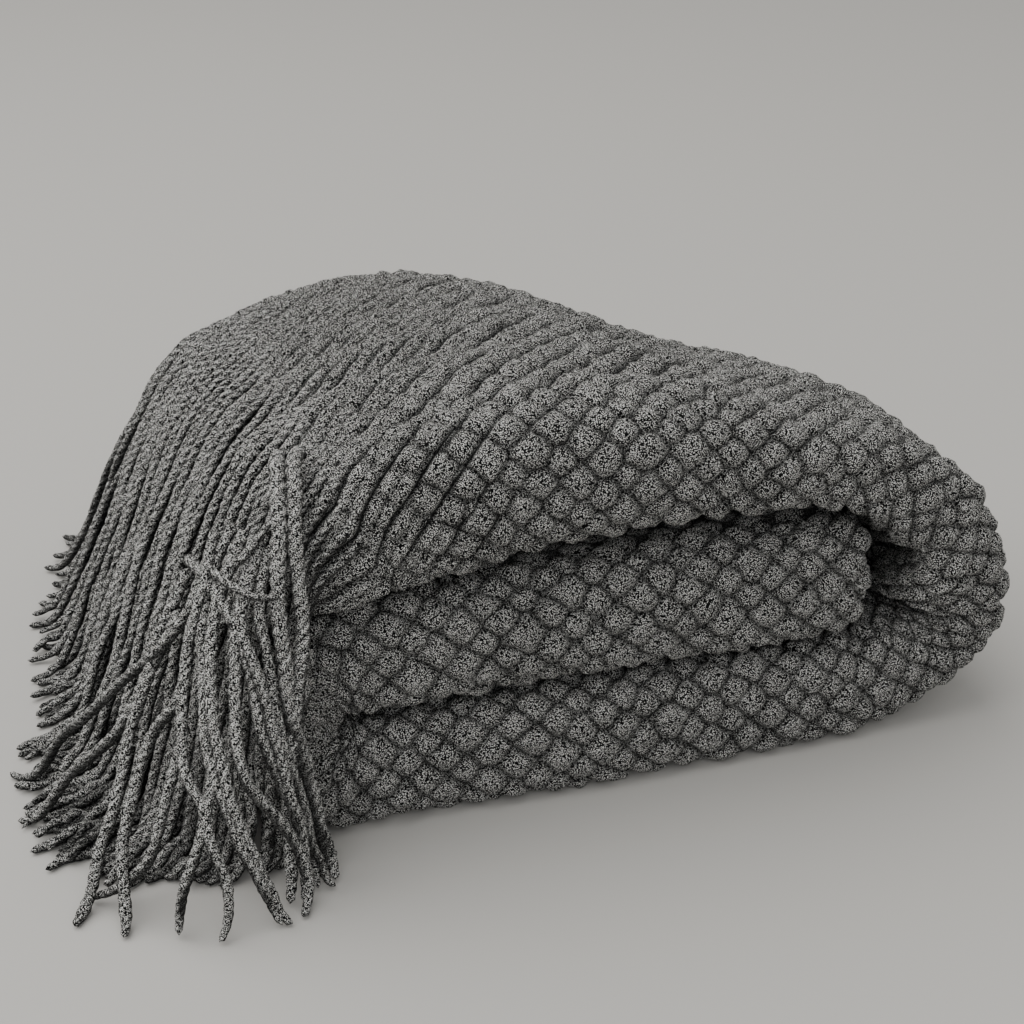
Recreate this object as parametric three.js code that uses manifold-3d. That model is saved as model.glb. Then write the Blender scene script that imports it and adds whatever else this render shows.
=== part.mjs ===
// A chunky knit throw, folded in four across its width, rolled in three along its length, with a yarn fringe.
// Millimetres, +Z up, +X along the front from the fringed end to the round end, +Y to the back.

import * as THREE from "three";
import { mergeVertices } from "three/addons/utils/BufferGeometryUtils.js";
import Module from "manifold-3d";

const wasm = await Module();
wasm.setup();

// Cloth across its width: four layers, each this share of the band's thickness, round nested folds.
const LAYER_SHARE = 0.21;
const OUTER_LEVEL = 0.395; // the top and bottom layer's middle, as a share of the thickness
const INNER_LEVEL = 0.13; // the two layers between
const FOLD_REACH = 0.8; // how far a front fold stands out, against a half circle
const FOLD_FULLNESS = 2.8; // 2 is a round fold, more is a fuller one
const DEPTH = 248; // front to back at the fringed end
const DEPTH_LOSS_LOW = 25; // the bottom band is shallower by this at the round end
const DEPTH_LOSS_HIGH = 45; // and the top band by this as well
const DEPTH_LOSS = { from: 60, to: 300 }; // where along the front it sets in and is whole
const OPEN_EDGE_INSET = 9; // the cloth's two long edges lie this far inside the back
const EDGE_WANDER = 5; // and wander by this
const HEIGHT = 150;
const SEAT = 0.5; // the floor presses the underside flat by this

const STRAIGHT_STEPS = 5;
const FRONT_OUTER_STEPS = 6;
const FRONT_INNER_STEPS = 3;
const BACK_STEPS = 3;

// The three bands as seen from the front, from the cloth's inner end to its fringed end.
// x and z are the middle of the band, thick is across it, front is how far its fold stands back,
// steps is how many sections lie between this row and the next.
const BANDS = [
  { x: 251, z: 79, thick: 38, front: -5, steps: 1 },
  { x: 244, z: 79, thick: 49, front: -13, steps: 1 },
  { x: 227, z: 79.5, thick: 55, front: -16, steps: 1 },
  { x: 180, z: 81.5, thick: 58, front: -18, steps: 2 },
  { x: 110, z: 82.5, thick: 58, front: -18, steps: 2 },
  { x: 32, z: 77.5, thick: 51, front: -16, steps: 1 },
  { x: 8, z: 75, thick: 49, front: -15, steps: 1 },
  { x: -4.5, z: 66, thick: 46, front: -14, steps: 1 },
  { x: -11, z: 52, thick: 45, front: -14, steps: 1 },
  { x: -9, z: 38, thick: 45, front: -15, steps: 1 },
  { x: 3, z: 27, thick: 47, front: -17, steps: 1 },
  { x: 30, z: 24, thick: 48, front: -18, steps: 2 },
  { x: 120, z: 24.5, thick: 49, front: -22, steps: 3 },
  { x: 220, z: 24.2, thick: 48.4, front: -21, steps: 1 },
  { x: 254, z: 26, thick: 45, front: -19, steps: 1 },
  { x: 274, z: 31, thick: 40, front: -18, steps: 1 },
  { x: 290, z: 41, thick: 37, front: -17, steps: 1 },
  { x: 297.5, z: 56, thick: 36, front: -17, steps: 1 },
  { x: 296, z: 75, thick: 36, front: -17, steps: 1 },
  { x: 288, z: 93.5, thick: 36, front: -18, steps: 1 },
  { x: 275, z: 109, thick: 38, front: -19, steps: 1 },
  { x: 256, z: 122.5, thick: 41, front: -21, steps: 1 },
  { x: 232, z: 132, thick: 43, front: -23, steps: 1 },
  { x: 200, z: 138.5, thick: 46, front: -25, steps: 2 },
  { x: 140, z: 148, thick: 61, front: -27, steps: 2 },
  { x: 80, z: 149, thick: 65, front: -27, steps: 2 },
  { x: 30, z: 140.5, thick: 62, front: -25, steps: 1 },
  { x: 12, z: 134, thick: 58, front: -23, steps: 1 },
  { x: -5, z: 128.5, thick: 57, front: -21, steps: 0 },
];

// The pile sinks towards the back, more at the round end, where it was folded askew.
const SINK = { left: 0.14, right: 0.42, from: 80, to: 270 };
const SINK_POWER = { left: 4.2, right: 2.2, from: 60, to: 200 };
const SINK_AT_FLOOR = 0.5; // the bottom of the pile takes this share of it

// The fringe: yarn strands, square in section, of about the yarn's own area.
const GAP = 0.3;
const STRIP = 5;
const STRIP_SHARE = 0.62; // of a layer's thickness
const STRAND = 4.4; // across the flats
const STRAND_STEPS = 8;
const STRAND_DROOP = 0.1; // it leaves its root falling by this share of its span
const LANDING_LEAD = 0.12; // share of its span over which it turns level
const LANDING_RISE = 8; // it comes in from this far above where it lies
const LEVEL_END = 0.09; // share of its span lying on the floor

// Rows of fringe, from the top layer down. reach is how far out a row lands, as a share of the top row's.
const ROWS = [
  { name: "fringe_top_layer", strands: 24, from: 0, reach: 1 },
  { name: "fringe_second_layer", strands: 21, from: 0.24, reach: 0.85 },
  { name: "fringe_third_layer", strands: 20, from: 0.24, reach: 0.735 },
  { name: "fringe_bottom_layer", strands: 21, from: 0.24, reach: 0.59 },
];

// Where the top row's strands land, by their place along the edge from front to back.
// lead is the share of a strand's span before it turns down.
const LANDINGS = [
  { along: 0, x: -12, y: -54, lead: 0.32 },
  { along: 0.1, x: -38, y: -68, lead: 0.36 },
  { along: 0.2, x: -68, y: -68, lead: 0.5 },
  { along: 0.36, x: -94, y: -38, lead: 0.44 },
  { along: 0.48, x: -108, y: 4, lead: 0.44 },
  { along: 0.6, x: -112, y: 66, lead: 0.44 },
  { along: 0.72, x: -104, y: 132, lead: 0.44 },
  { along: 0.86, x: -92, y: 222, lead: 0.44 },
  { along: 1, x: -74, y: 318, lead: 0.44 },
];

const YARN = { color: 0x4a4b4d, roughness: 0.96, metalness: 0 };

function ease(value, from, to) {
  return THREE.MathUtils.smoothstep(value, from, to);
}

function blend(range, value) {
  return range.left + (range.right - range.left) * ease(value, range.from, range.to);
}

// A smooth curve through one column of a table, at row index plus fraction.
function curveThrough(table, column, place) {
  const row = Math.min(Math.floor(place), table.length - 2);
  const at = (index) => table[THREE.MathUtils.clamp(index, 0, table.length - 1)][column];
  const t = place - row;
  const [p0, p1, p2, p3] = [at(row - 1), at(row), at(row + 1), at(row + 2)];
  const slope = (p2 - p0) / 2;
  const nextSlope = (p3 - p1) / 2;
  const value = (2 * t ** 3 - 3 * t ** 2 + 1) * p1 + (t ** 3 - 2 * t ** 2 + t) * slope;
  return value + (3 * t ** 2 - 2 * t ** 3) * p2 + (t ** 3 - t ** 2) * nextSlope;
}

function depthAt(x, z) {
  return DEPTH - (DEPTH_LOSS_LOW + (DEPTH_LOSS_HIGH * z) / HEIGHT) * ease(x, DEPTH_LOSS.from, DEPTH_LOSS.to);
}

// One place along the bands: the middle, the direction and the sizes of the section there.
function stationAt(place) {
  const nudge = 0.01;
  const before = Math.max(place - nudge, 0);
  const after = Math.min(place + nudge, BANDS.length - 1);
  const x = curveThrough(BANDS, "x", place);
  const z = curveThrough(BANDS, "z", place);
  const forward = new THREE.Vector2(
    curveThrough(BANDS, "x", after) - curveThrough(BANDS, "x", before),
    curveThrough(BANDS, "z", after) - curveThrough(BANDS, "z", before),
  ).normalize();
  if (place === BANDS.length - 1) {
    forward.set(-1, 0); // the fringed edge stands upright
  }
  const thick = curveThrough(BANDS, "thick", place);
  const front = curveThrough(BANDS, "front", place);
  return { x, z, forward, thick, front, back: front + depthAt(x, z), wave: place };
}

// The middle line of the folded cloth across one section, in pieces, with the side that it turns outward.
// y is to the back, w is across the band, away from the inside of the roll.
function sectionPieces(station) {
  const { thick, front, back, wave } = station;
  const outer = OUTER_LEVEL * thick;
  const inner = INNER_LEVEL * thick;
  const foldY = front + FOLD_REACH * (outer + (LAYER_SHARE * thick) / 2);
  const backRadius = (outer - inner) / 2;
  const backY = back - backRadius - (LAYER_SHARE * thick) / 2;
  const lowEdge = back - OPEN_EDGE_INSET - EDGE_WANDER * Math.sin(wave);
  const innerEdge = back - 2 * OPEN_EDGE_INSET - EDGE_WANDER * Math.cos(wave);
  const line = (from, to, w, side) => {
    const points = [];
    for (let i = 0; i <= STRAIGHT_STEPS; i += 1) {
      points.push({ y: from + ((to - from) * i) / STRAIGHT_STEPS, w, ny: 0, nw: side });
    }
    return points;
  };
  const turn = (centre, radius, start, end, steps, side, shape) => {
    const points = [];
    const rounded = (value) => Math.sign(value) * Math.abs(value) ** (2 / shape.fullness);
    for (let i = 0; i <= steps; i += 1) {
      const angle = start + ((end - start) * i) / steps;
      const [dy, dw] = [shape.reach * rounded(Math.cos(angle)), rounded(Math.sin(angle))];
      points.push({
        y: centre.y + radius * dy,
        w: centre.w + radius * dw,
        ny: side * dy,
        nw: side * dw,
      });
    }
    return points;
  };
  const quarter = Math.PI / 2;
  const frontCentre = { y: foldY, w: 0 };
  const backCentre = { y: backY, w: (outer + inner) / 2 };
  const full = { reach: FOLD_REACH, fullness: FOLD_FULLNESS };
  const round = { reach: 1, fullness: 2 };
  return {
    low: line(lowEdge, foldY, -outer, -1),
    frontOuter: turn(frontCentre, outer, 3 * quarter, quarter, FRONT_OUTER_STEPS, 1, full),
    top: line(foldY, backY, outer, 1),
    back: turn(backCentre, backRadius, quarter, -quarter, BACK_STEPS, 1, round),
    innerTop: line(backY, foldY, inner, -1),
    frontInner: turn(frontCentre, inner, quarter, 3 * quarter, FRONT_INNER_STEPS, -1, full),
    innerLow: line(foldY, innerEdge, -inner, 1),
  };
}

function withoutDoubles(points) {
  return points.filter((point, i) => {
    const last = points[i - 1];
    return !last || Math.hypot(point.y - last.y, point.w - last.w) > 0.01;
  });
}

// The closed outline of a band of cloth along its middle line.
function outlineOf(points, thickness) {
  const side = (sign) => points.map((point) => ({
    y: point.y + (sign * thickness * point.ny) / 2,
    w: point.w + (sign * thickness * point.nw) / 2,
  }));
  return [...side(1), ...side(-1).reverse()];
}

// Moves a point of the even pile to where it lies in the sunken one.
function settle(x, y, z) {
  const back = depthAt(x, 0);
  const share = Math.max(y, 0) / back;
  const sink = blend(SINK, x) * share ** blend(SINK_POWER, x);
  const height = SINK_AT_FLOOR + ((1 - SINK_AT_FLOOR) * z) / HEIGHT;
  return new THREE.Vector3(x, y, Math.max(0, z * (1 - sink * height) - SEAT));
}

function placed(station, point, ahead = 0) {
  const { x, z, forward } = station;
  const px = x + ahead * forward.x + point.w * forward.y;
  const pz = z + ahead * forward.y - point.w * forward.x;
  return settle(px, point.y, pz);
}

// A closed mesh through rings of equally many points, with flat ends.
function loft(rings, ends) {
  const count = rings[0].length;
  const positions = rings.flat().flatMap((point) => point.toArray());
  const index = [];
  for (let ring = 0; ring + 1 < rings.length; ring += 1) {
    for (let i = 0; i < count; i += 1) {
      const a = ring * count + i;
      const b = ring * count + ((i + 1) % count);
      index.push(a, b, a + count, b, b + count, a + count);
    }
  }
  const last = (rings.length - 1) * count;
  for (const [a, b, c] of ends) {
    index.push(a, c, b, last + a, last + b, last + c);
  }
  const geometry = new THREE.BufferGeometry();
  geometry.setAttribute("position", new THREE.Float32BufferAttribute(positions, 3));
  geometry.setIndex(index);
  if (volumeOf(geometry) < 0) {
    geometry.setIndex(index.map((_, i) => index[i - (i % 3) + ((3 - (i % 3)) % 3)]));
  }
  return geometry;
}

function volumeOf(geometry) {
  const { position } = geometry.attributes;
  const corners = geometry.index.array;
  const [a, b, c] = [new THREE.Vector3(), new THREE.Vector3(), new THREE.Vector3()];
  let volume = 0;
  for (let i = 0; i < corners.length; i += 3) {
    a.fromBufferAttribute(position, corners[i]);
    b.fromBufferAttribute(position, corners[i + 1]);
    c.fromBufferAttribute(position, corners[i + 2]);
    volume += a.dot(b.cross(c)) / 6;
  }
  return volume;
}

// Triangles that fill an outline, turned the way that the outline runs.
function capOf(outline) {
  const points = outline.map(({ y, w }) => new THREE.Vector2(y, w));
  const turn = Math.sign(THREE.ShapeUtils.area(points));
  return THREE.ShapeUtils.triangulateShape(points, []).map(([a, b, c]) => (
    turn * THREE.ShapeUtils.area([points[a], points[b], points[c]]) < 0 ? [a, c, b] : [a, b, c]
  ));
}

function clothGeometry() {
  const places = BANDS.flatMap(({ steps }, row) => (
    Array.from({ length: steps }, (_, step) => row + step / steps)
  ));
  places.push(BANDS.length - 1);
  const rings = [];
  let cap = [];
  for (const place of places) {
    const station = stationAt(place);
    const middle = withoutDoubles(Object.values(sectionPieces(station)).flat());
    const outline = outlineOf(middle, LAYER_SHARE * station.thick);
    rings.push(outline.map((point) => placed(station, point)));
    cap = capOf(outline);
  }
  return loft(rings, cap);
}

// The stretches of the fringed edge that the rows of strands hang from, front to back.
function edgesOf({ low, frontOuter, top, innerTop, innerLow }) {
  const clear = frontOuter.slice(1); // the front fold's strip stops short of the bottom layer's
  return {
    fringe_top_layer: withoutDoubles([...clear, ...top]),
    fringe_second_layer: innerTop.toReversed(),
    fringe_third_layer: innerLow,
    fringe_bottom_layer: low.toReversed(),
  };
}

// The point at a share of a line's length.
function alongEdge(points, share) {
  const lengths = points.slice(1).map((p, i) => Math.hypot(p.y - points[i].y, p.w - points[i].w));
  let left = share * lengths.reduce((sum, length) => sum + length, 0);
  for (let i = 0; i < lengths.length; i += 1) {
    if (left <= lengths[i] || i === lengths.length - 1) {
      const t = left / lengths[i];
      return {
        y: points[i].y + (points[i + 1].y - points[i].y) * t,
        w: points[i].w + (points[i + 1].w - points[i].w) * t,
      };
    }
    left -= lengths[i];
  }
  return points[0];
}

function landingAt(along) {
  const row = LANDINGS.findLastIndex((landing) => landing.along <= along);
  const first = Math.min(row, LANDINGS.length - 2);
  const span = LANDINGS[first + 1].along - LANDINGS[first].along;
  const place = first + (along - LANDINGS[first].along) / span;
  return {
    place: new THREE.Vector2(curveThrough(LANDINGS, "x", place), curveThrough(LANDINGS, "y", place)),
    lead: curveThrough(LANDINGS, "lead", place),
  };
}

// The middle line of a strand: out from the edge, down in one bend, then level on the floor.
function strandLine(root, landing, reach) {
  const out = landing.place.clone().sub(new THREE.Vector2(root.x, root.y)).multiplyScalar(reach);
  const span = out.length();
  const heading = out.clone().normalize();
  const floor = STRAND / 2;
  const land = new THREE.Vector3(root.x + out.x, root.y + out.y, floor);
  const lead = new THREE.Vector3(root.x - landing.lead * span, root.y, root.z - STRAND_DROOP * span);
  const turn = new THREE.Vector3(
    land.x - LANDING_LEAD * span * heading.x,
    land.y - LANDING_LEAD * span * heading.y,
    floor + LANDING_RISE,
  );
  const bend = new THREE.CubicBezierCurve3(root, lead, turn, land);
  const points = bend.getPoints(STRAND_STEPS - 1);
  const end = land.clone();
  end.x += LEVEL_END * span * heading.x;
  end.y += LEVEL_END * span * heading.y;
  return [...points, end];
}

function strandGeometry(line) {
  const half = STRAND / 2;
  const rings = line.map((point, i) => {
    const along = line[Math.min(i + 1, line.length - 1)].clone().sub(line[Math.max(i - 1, 0)]).normalize();
    const level = i >= line.length - 2;
    if (level) {
      along.setZ(0).normalize();
    }
    const side = new THREE.Vector3(-along.y, along.x, 0).normalize();
    const up = along.clone().cross(side);
    return [[-1, -1], [1, -1], [1, 1], [-1, 1]].map(([s, u]) => (
      point.clone().addScaledVector(side, s * half).addScaledVector(up, u * half)
    ));
  });
  return loft(rings, [[0, 1, 2], [0, 2, 3]]);
}

function toSolid(geometry) {
  const clean = mergeVertices(geometry, 1e-4);
  return new wasm.Manifold(new wasm.Mesh({
    numProp: 3,
    vertProperties: new Float32Array(clean.attributes.position.array),
    triVerts: new Uint32Array(clean.index.array),
  }));
}

function fromSolid(solid) {
  const { vertProperties, triVerts } = solid.getMesh();
  const geometry = new THREE.BufferGeometry();
  geometry.setAttribute("position", new THREE.BufferAttribute(vertProperties, 3));
  geometry.setIndex(new THREE.BufferAttribute(triVerts, 1));
  return geometry;
}

function fringeGeometry(row) {
  const station = stationAt(BANDS.length - 1);
  const edge = edgesOf(sectionPieces(station))[row.name];
  const thickness = STRIP_SHARE * LAYER_SHARE * station.thick;
  const outline = outlineOf(edge, thickness);
  const rings = [GAP, GAP + STRIP].map((ahead) => outline.map((point) => placed(station, point, ahead)));
  let solid = toSolid(loft(rings, capOf(outline)));
  for (let i = 0; i < row.strands; i += 1) {
    const along = (i + 0.5) / row.strands;
    const root = placed(station, alongEdge(edge, along), GAP + STRIP / 2);
    const landing = landingAt(row.from + (1 - row.from) * along);
    solid = solid.add(toSolid(strandGeometry(strandLine(root, landing, row.reach))));
  }
  return fromSolid(solid);
}

function yarnMesh(name, geometry) {
  const mesh = new THREE.Mesh(geometry, new THREE.MeshStandardMaterial(YARN));
  mesh.name = name;
  return mesh;
}

const group = new THREE.Group();
group.add(yarnMesh("throw_cloth", clothGeometry()));
for (const row of ROWS) {
  group.add(yarnMesh(row.name, fringeGeometry(row)));
}

// The origin is under the middle of the whole.
const box = new THREE.Box3().setFromObject(group);
const middle = box.getCenter(new THREE.Vector3());
group.position.set(-middle.x, -middle.y, -box.min.z);

export default group;
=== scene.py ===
"""A chunky knit throw, folded in four and rolled in three, with a yarn fringe: the dressed model.

Metres, +Z up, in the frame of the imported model. In the throw's own sizes, X runs along the front from the
fringed end to the round end, Y to the back, and zero is where the front fold meets the fringed end.
"""
import logging
import math
from dataclasses import dataclass, field
from enum import Enum
from typing import Callable, Sequence

import bmesh
import bpy
import numpy as np
from mathutils import Matrix, Vector
from mathutils.kdtree import KDTree


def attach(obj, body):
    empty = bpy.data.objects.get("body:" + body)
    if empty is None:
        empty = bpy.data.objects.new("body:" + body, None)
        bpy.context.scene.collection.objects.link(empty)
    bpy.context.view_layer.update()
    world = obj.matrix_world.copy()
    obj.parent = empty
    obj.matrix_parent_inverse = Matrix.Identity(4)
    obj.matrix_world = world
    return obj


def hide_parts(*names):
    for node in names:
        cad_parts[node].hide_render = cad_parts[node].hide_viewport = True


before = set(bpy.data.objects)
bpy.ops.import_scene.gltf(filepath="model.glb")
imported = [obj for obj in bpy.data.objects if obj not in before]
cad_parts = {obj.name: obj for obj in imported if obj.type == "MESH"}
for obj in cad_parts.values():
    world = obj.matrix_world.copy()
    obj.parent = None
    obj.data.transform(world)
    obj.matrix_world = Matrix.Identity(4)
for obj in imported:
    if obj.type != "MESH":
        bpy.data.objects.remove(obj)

log = logging.getLogger("knit_throw")

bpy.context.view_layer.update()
ORIGIN = np.array([0.09646, 0.12098, 0.0])  # the row's origin in the throw's own sizes

# The knit's repeat: bobbles stand in rows, each row set off by half from the next
REPEAT_ALONG = 0.0196
REPEAT_ACROSS = 0.0172
REPEAT_START = (-0.0018, 0.0020)
CHANCES = 256  # a random table's rows and columns


class Slot(Enum):
    """The yarn's material slot names."""

    KNIT = "yarn_knit"
    FRINGE = "yarn_fringe"


@dataclass(frozen=True)
class Band:
    """One row of the roll: the middle of the folded band, seen from the front.

    thick is across the band, front is how far its fold stands back.
    """

    x: float
    z: float
    thick: float
    front: float


BANDS = (
    Band(x=0.246, z=0.080, thick=0.040, front=-0.005),
    Band(x=0.240, z=0.0805, thick=0.052, front=-0.013),
    Band(x=0.2245, z=0.081, thick=0.058, front=-0.016),
    Band(x=0.180, z=0.0815, thick=0.058, front=-0.018),
    Band(x=0.110, z=0.081, thick=0.055, front=-0.018),
    Band(x=0.032, z=0.0775, thick=0.051, front=-0.016),
    Band(x=0.008, z=0.075, thick=0.049, front=-0.015),
    Band(x=-0.0045, z=0.066, thick=0.046, front=-0.014),
    Band(x=-0.011, z=0.052, thick=0.045, front=-0.014),
    Band(x=-0.009, z=0.038, thick=0.045, front=-0.015),
    Band(x=0.003, z=0.027, thick=0.047, front=-0.017),
    Band(x=0.030, z=0.024, thick=0.048, front=-0.016),
    Band(x=0.120, z=0.0245, thick=0.049, front=-0.017),
    Band(x=0.220, z=0.0242, thick=0.0484, front=-0.014),
    Band(x=0.254, z=0.026, thick=0.045, front=-0.011),
    Band(x=0.274, z=0.032, thick=0.040, front=-0.011),
    Band(x=0.288, z=0.042, thick=0.041, front=-0.013),
    Band(x=0.295, z=0.056, thick=0.042, front=-0.016),
    Band(x=0.2935, z=0.075, thick=0.042, front=-0.016),
    Band(x=0.2855, z=0.0935, thick=0.042, front=-0.018),
    Band(x=0.2735, z=0.109, thick=0.042, front=-0.020),
    Band(x=0.256, z=0.1235, thick=0.039, front=-0.021),
    Band(x=0.232, z=0.1357, thick=0.0358, front=-0.023),
    Band(x=0.200, z=0.1423, thick=0.0384, front=-0.025),
    Band(x=0.140, z=0.1505, thick=0.056, front=-0.027),
    Band(x=0.080, z=0.1502, thick=0.0625, front=-0.027),
    Band(x=0.030, z=0.1405, thick=0.062, front=-0.025),
    Band(x=0.012, z=0.134, thick=0.058, front=-0.023),
    Band(x=-0.005, z=0.1285, thick=0.057, front=-0.021),
)


@dataclass(frozen=True)
class Landing:
    """Where a strand of the top row ends, by its place along the edge from front to back.

    lead is the share of its way before it turns down, and lie the share that lies on the floor.
    """

    along: float
    x: float
    y: float
    lead: float
    lie: float


LANDINGS = (
    Landing(along=0.0, x=-0.014, y=-0.028, lead=0.32, lie=0.05),
    Landing(along=0.1, x=-0.036, y=-0.032, lead=0.36, lie=0.08),
    Landing(along=0.2, x=-0.066, y=-0.026, lead=0.44, lie=0.16),
    Landing(along=0.3, x=-0.098, y=-0.014, lead=0.46, lie=0.28),
    Landing(along=0.4, x=-0.115, y=0.010, lead=0.46, lie=0.33),
    Landing(along=0.5, x=-0.117, y=0.042, lead=0.46, lie=0.30),
    Landing(along=0.6, x=-0.113, y=0.080, lead=0.43, lie=0.22),
    Landing(along=0.72, x=-0.103, y=0.132, lead=0.41, lie=0.12),
    Landing(along=0.86, x=-0.093, y=0.218, lead=0.38, lie=0.06),
    Landing(along=1.0, x=-0.070, y=0.312, lead=0.36, lie=0.05),
)


def smoothstep(value: np.ndarray, low: float, high: float) -> np.ndarray:
    """An S curve from 0 at low to 1 at high.

    Args:
        value: Where to read the curve.
        low: Where it leaves 0.
        high: Where it reaches 1.

    Returns:
        The curve's height at each value.
    """
    t = np.clip((np.asarray(value, float) - low) / (high - low), 0.0, 1.0)
    return t * t * (3.0 - 2.0 * t)


def smooth_through(values: np.ndarray, places: np.ndarray) -> np.ndarray:
    """A smooth curve through values or points, at index plus fraction.

    Args:
        values: The values, or the points, in order.
        places: Index plus fraction, one for each value wanted.

    Returns:
        The curve at each place.
    """
    row = np.clip(np.floor(places).astype(int), 0, len(values) - 2)
    t = (places - row).reshape((-1,) + (1,) * (values.ndim - 1))
    before, here, after, beyond = (values[np.clip(row + k, 0, len(values) - 1)] for k in (-1, 0, 1, 2))
    slope = (after - before) / 2
    next_slope = (beyond - here) / 2
    value = (2 * t**3 - 3 * t**2 + 1) * here + (t**3 - 2 * t**2 + t) * slope
    return value + (3 * t**2 - 2 * t**3) * after + (t**3 - t**2) * next_slope


def curve_through(rows: Sequence, column: str, places: np.ndarray) -> np.ndarray:
    """A smooth curve through one named column of a table, at row index plus fraction."""
    return smooth_through(np.array([getattr(row, column) for row in rows]), places)


def drift(u: np.ndarray, v: np.ndarray, size: float, seed: int) -> np.ndarray:
    """A smooth random field over the flat cloth, from -1 to 1.

    Args:
        u: Places along the cloth.
        v: Places across the cloth.
        size: How far apart its humps are.
        seed: What makes this field differ from another.

    Returns:
        The field's height at each place.
    """
    table = np.random.default_rng(seed).uniform(-1.0, 1.0, (CHANCES, CHANCES))
    a, b = np.asarray(u) / size + CHANCES / 2, np.asarray(v) / size + CHANCES / 2
    i, j = np.floor(a).astype(int), np.floor(b).astype(int)
    p, q = a - i, b - j
    p, q = p * p * (3 - 2 * p), q * q * (3 - 2 * q)
    i, j = i % CHANCES, j % CHANCES
    i2, j2 = (i + 1) % CHANCES, (j + 1) % CHANCES
    low = table[i, j] * (1 - p) + table[i2, j] * p
    high = table[i, j2] * (1 - p) + table[i2, j2] * p
    return low * (1 - q) + high * q


def unit(vectors: np.ndarray) -> np.ndarray:
    """The vectors brought to length 1, along their last axis."""
    return vectors / np.maximum(np.linalg.norm(vectors, axis=-1, keepdims=True), 1e-12)


def run_along(line: np.ndarray) -> np.ndarray:
    """How far along its line each point is, for one line or for a stack of lines.

    Args:
        line: The points, in order along the last axis but one.

    Returns:
        The length from the first point to each.
    """
    steps = np.linalg.norm(np.diff(line, axis=-2), axis=-1)
    return np.concatenate([np.zeros(steps.shape[:-1] + (1,)), np.cumsum(steps, axis=-1)], -1)


# The folded cloth


@dataclass
class Stations:
    """Places along the roll, each with the middle, direction and sizes of its section."""

    x: np.ndarray
    z: np.ndarray
    forward_x: np.ndarray
    forward_z: np.ndarray
    thick: np.ndarray
    front: np.ndarray
    back: np.ndarray
    wave: np.ndarray


@dataclass
class Section:
    """The middle line of the folded layers at each station, with the side that each layer turns outward.

    y is to the back and w across the band. half is half the layer's thickness, and turned is how far round
    the line each point is: 0 where the front fold stands out most.
    """

    y: np.ndarray
    w: np.ndarray
    out_y: np.ndarray
    out_w: np.ndarray
    half: np.ndarray
    apex: int
    fold_end: int

    def face(self, side: int) -> tuple[np.ndarray, np.ndarray]:
        """The line of the cloth's outer (1) or inner (-1) face.

        Args:
            side: 1 or -1.

        Returns:
            y and w of the line at each station.
        """
        return self.y + side * self.half * self.out_y, self.w + side * self.half * self.out_w


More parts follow.
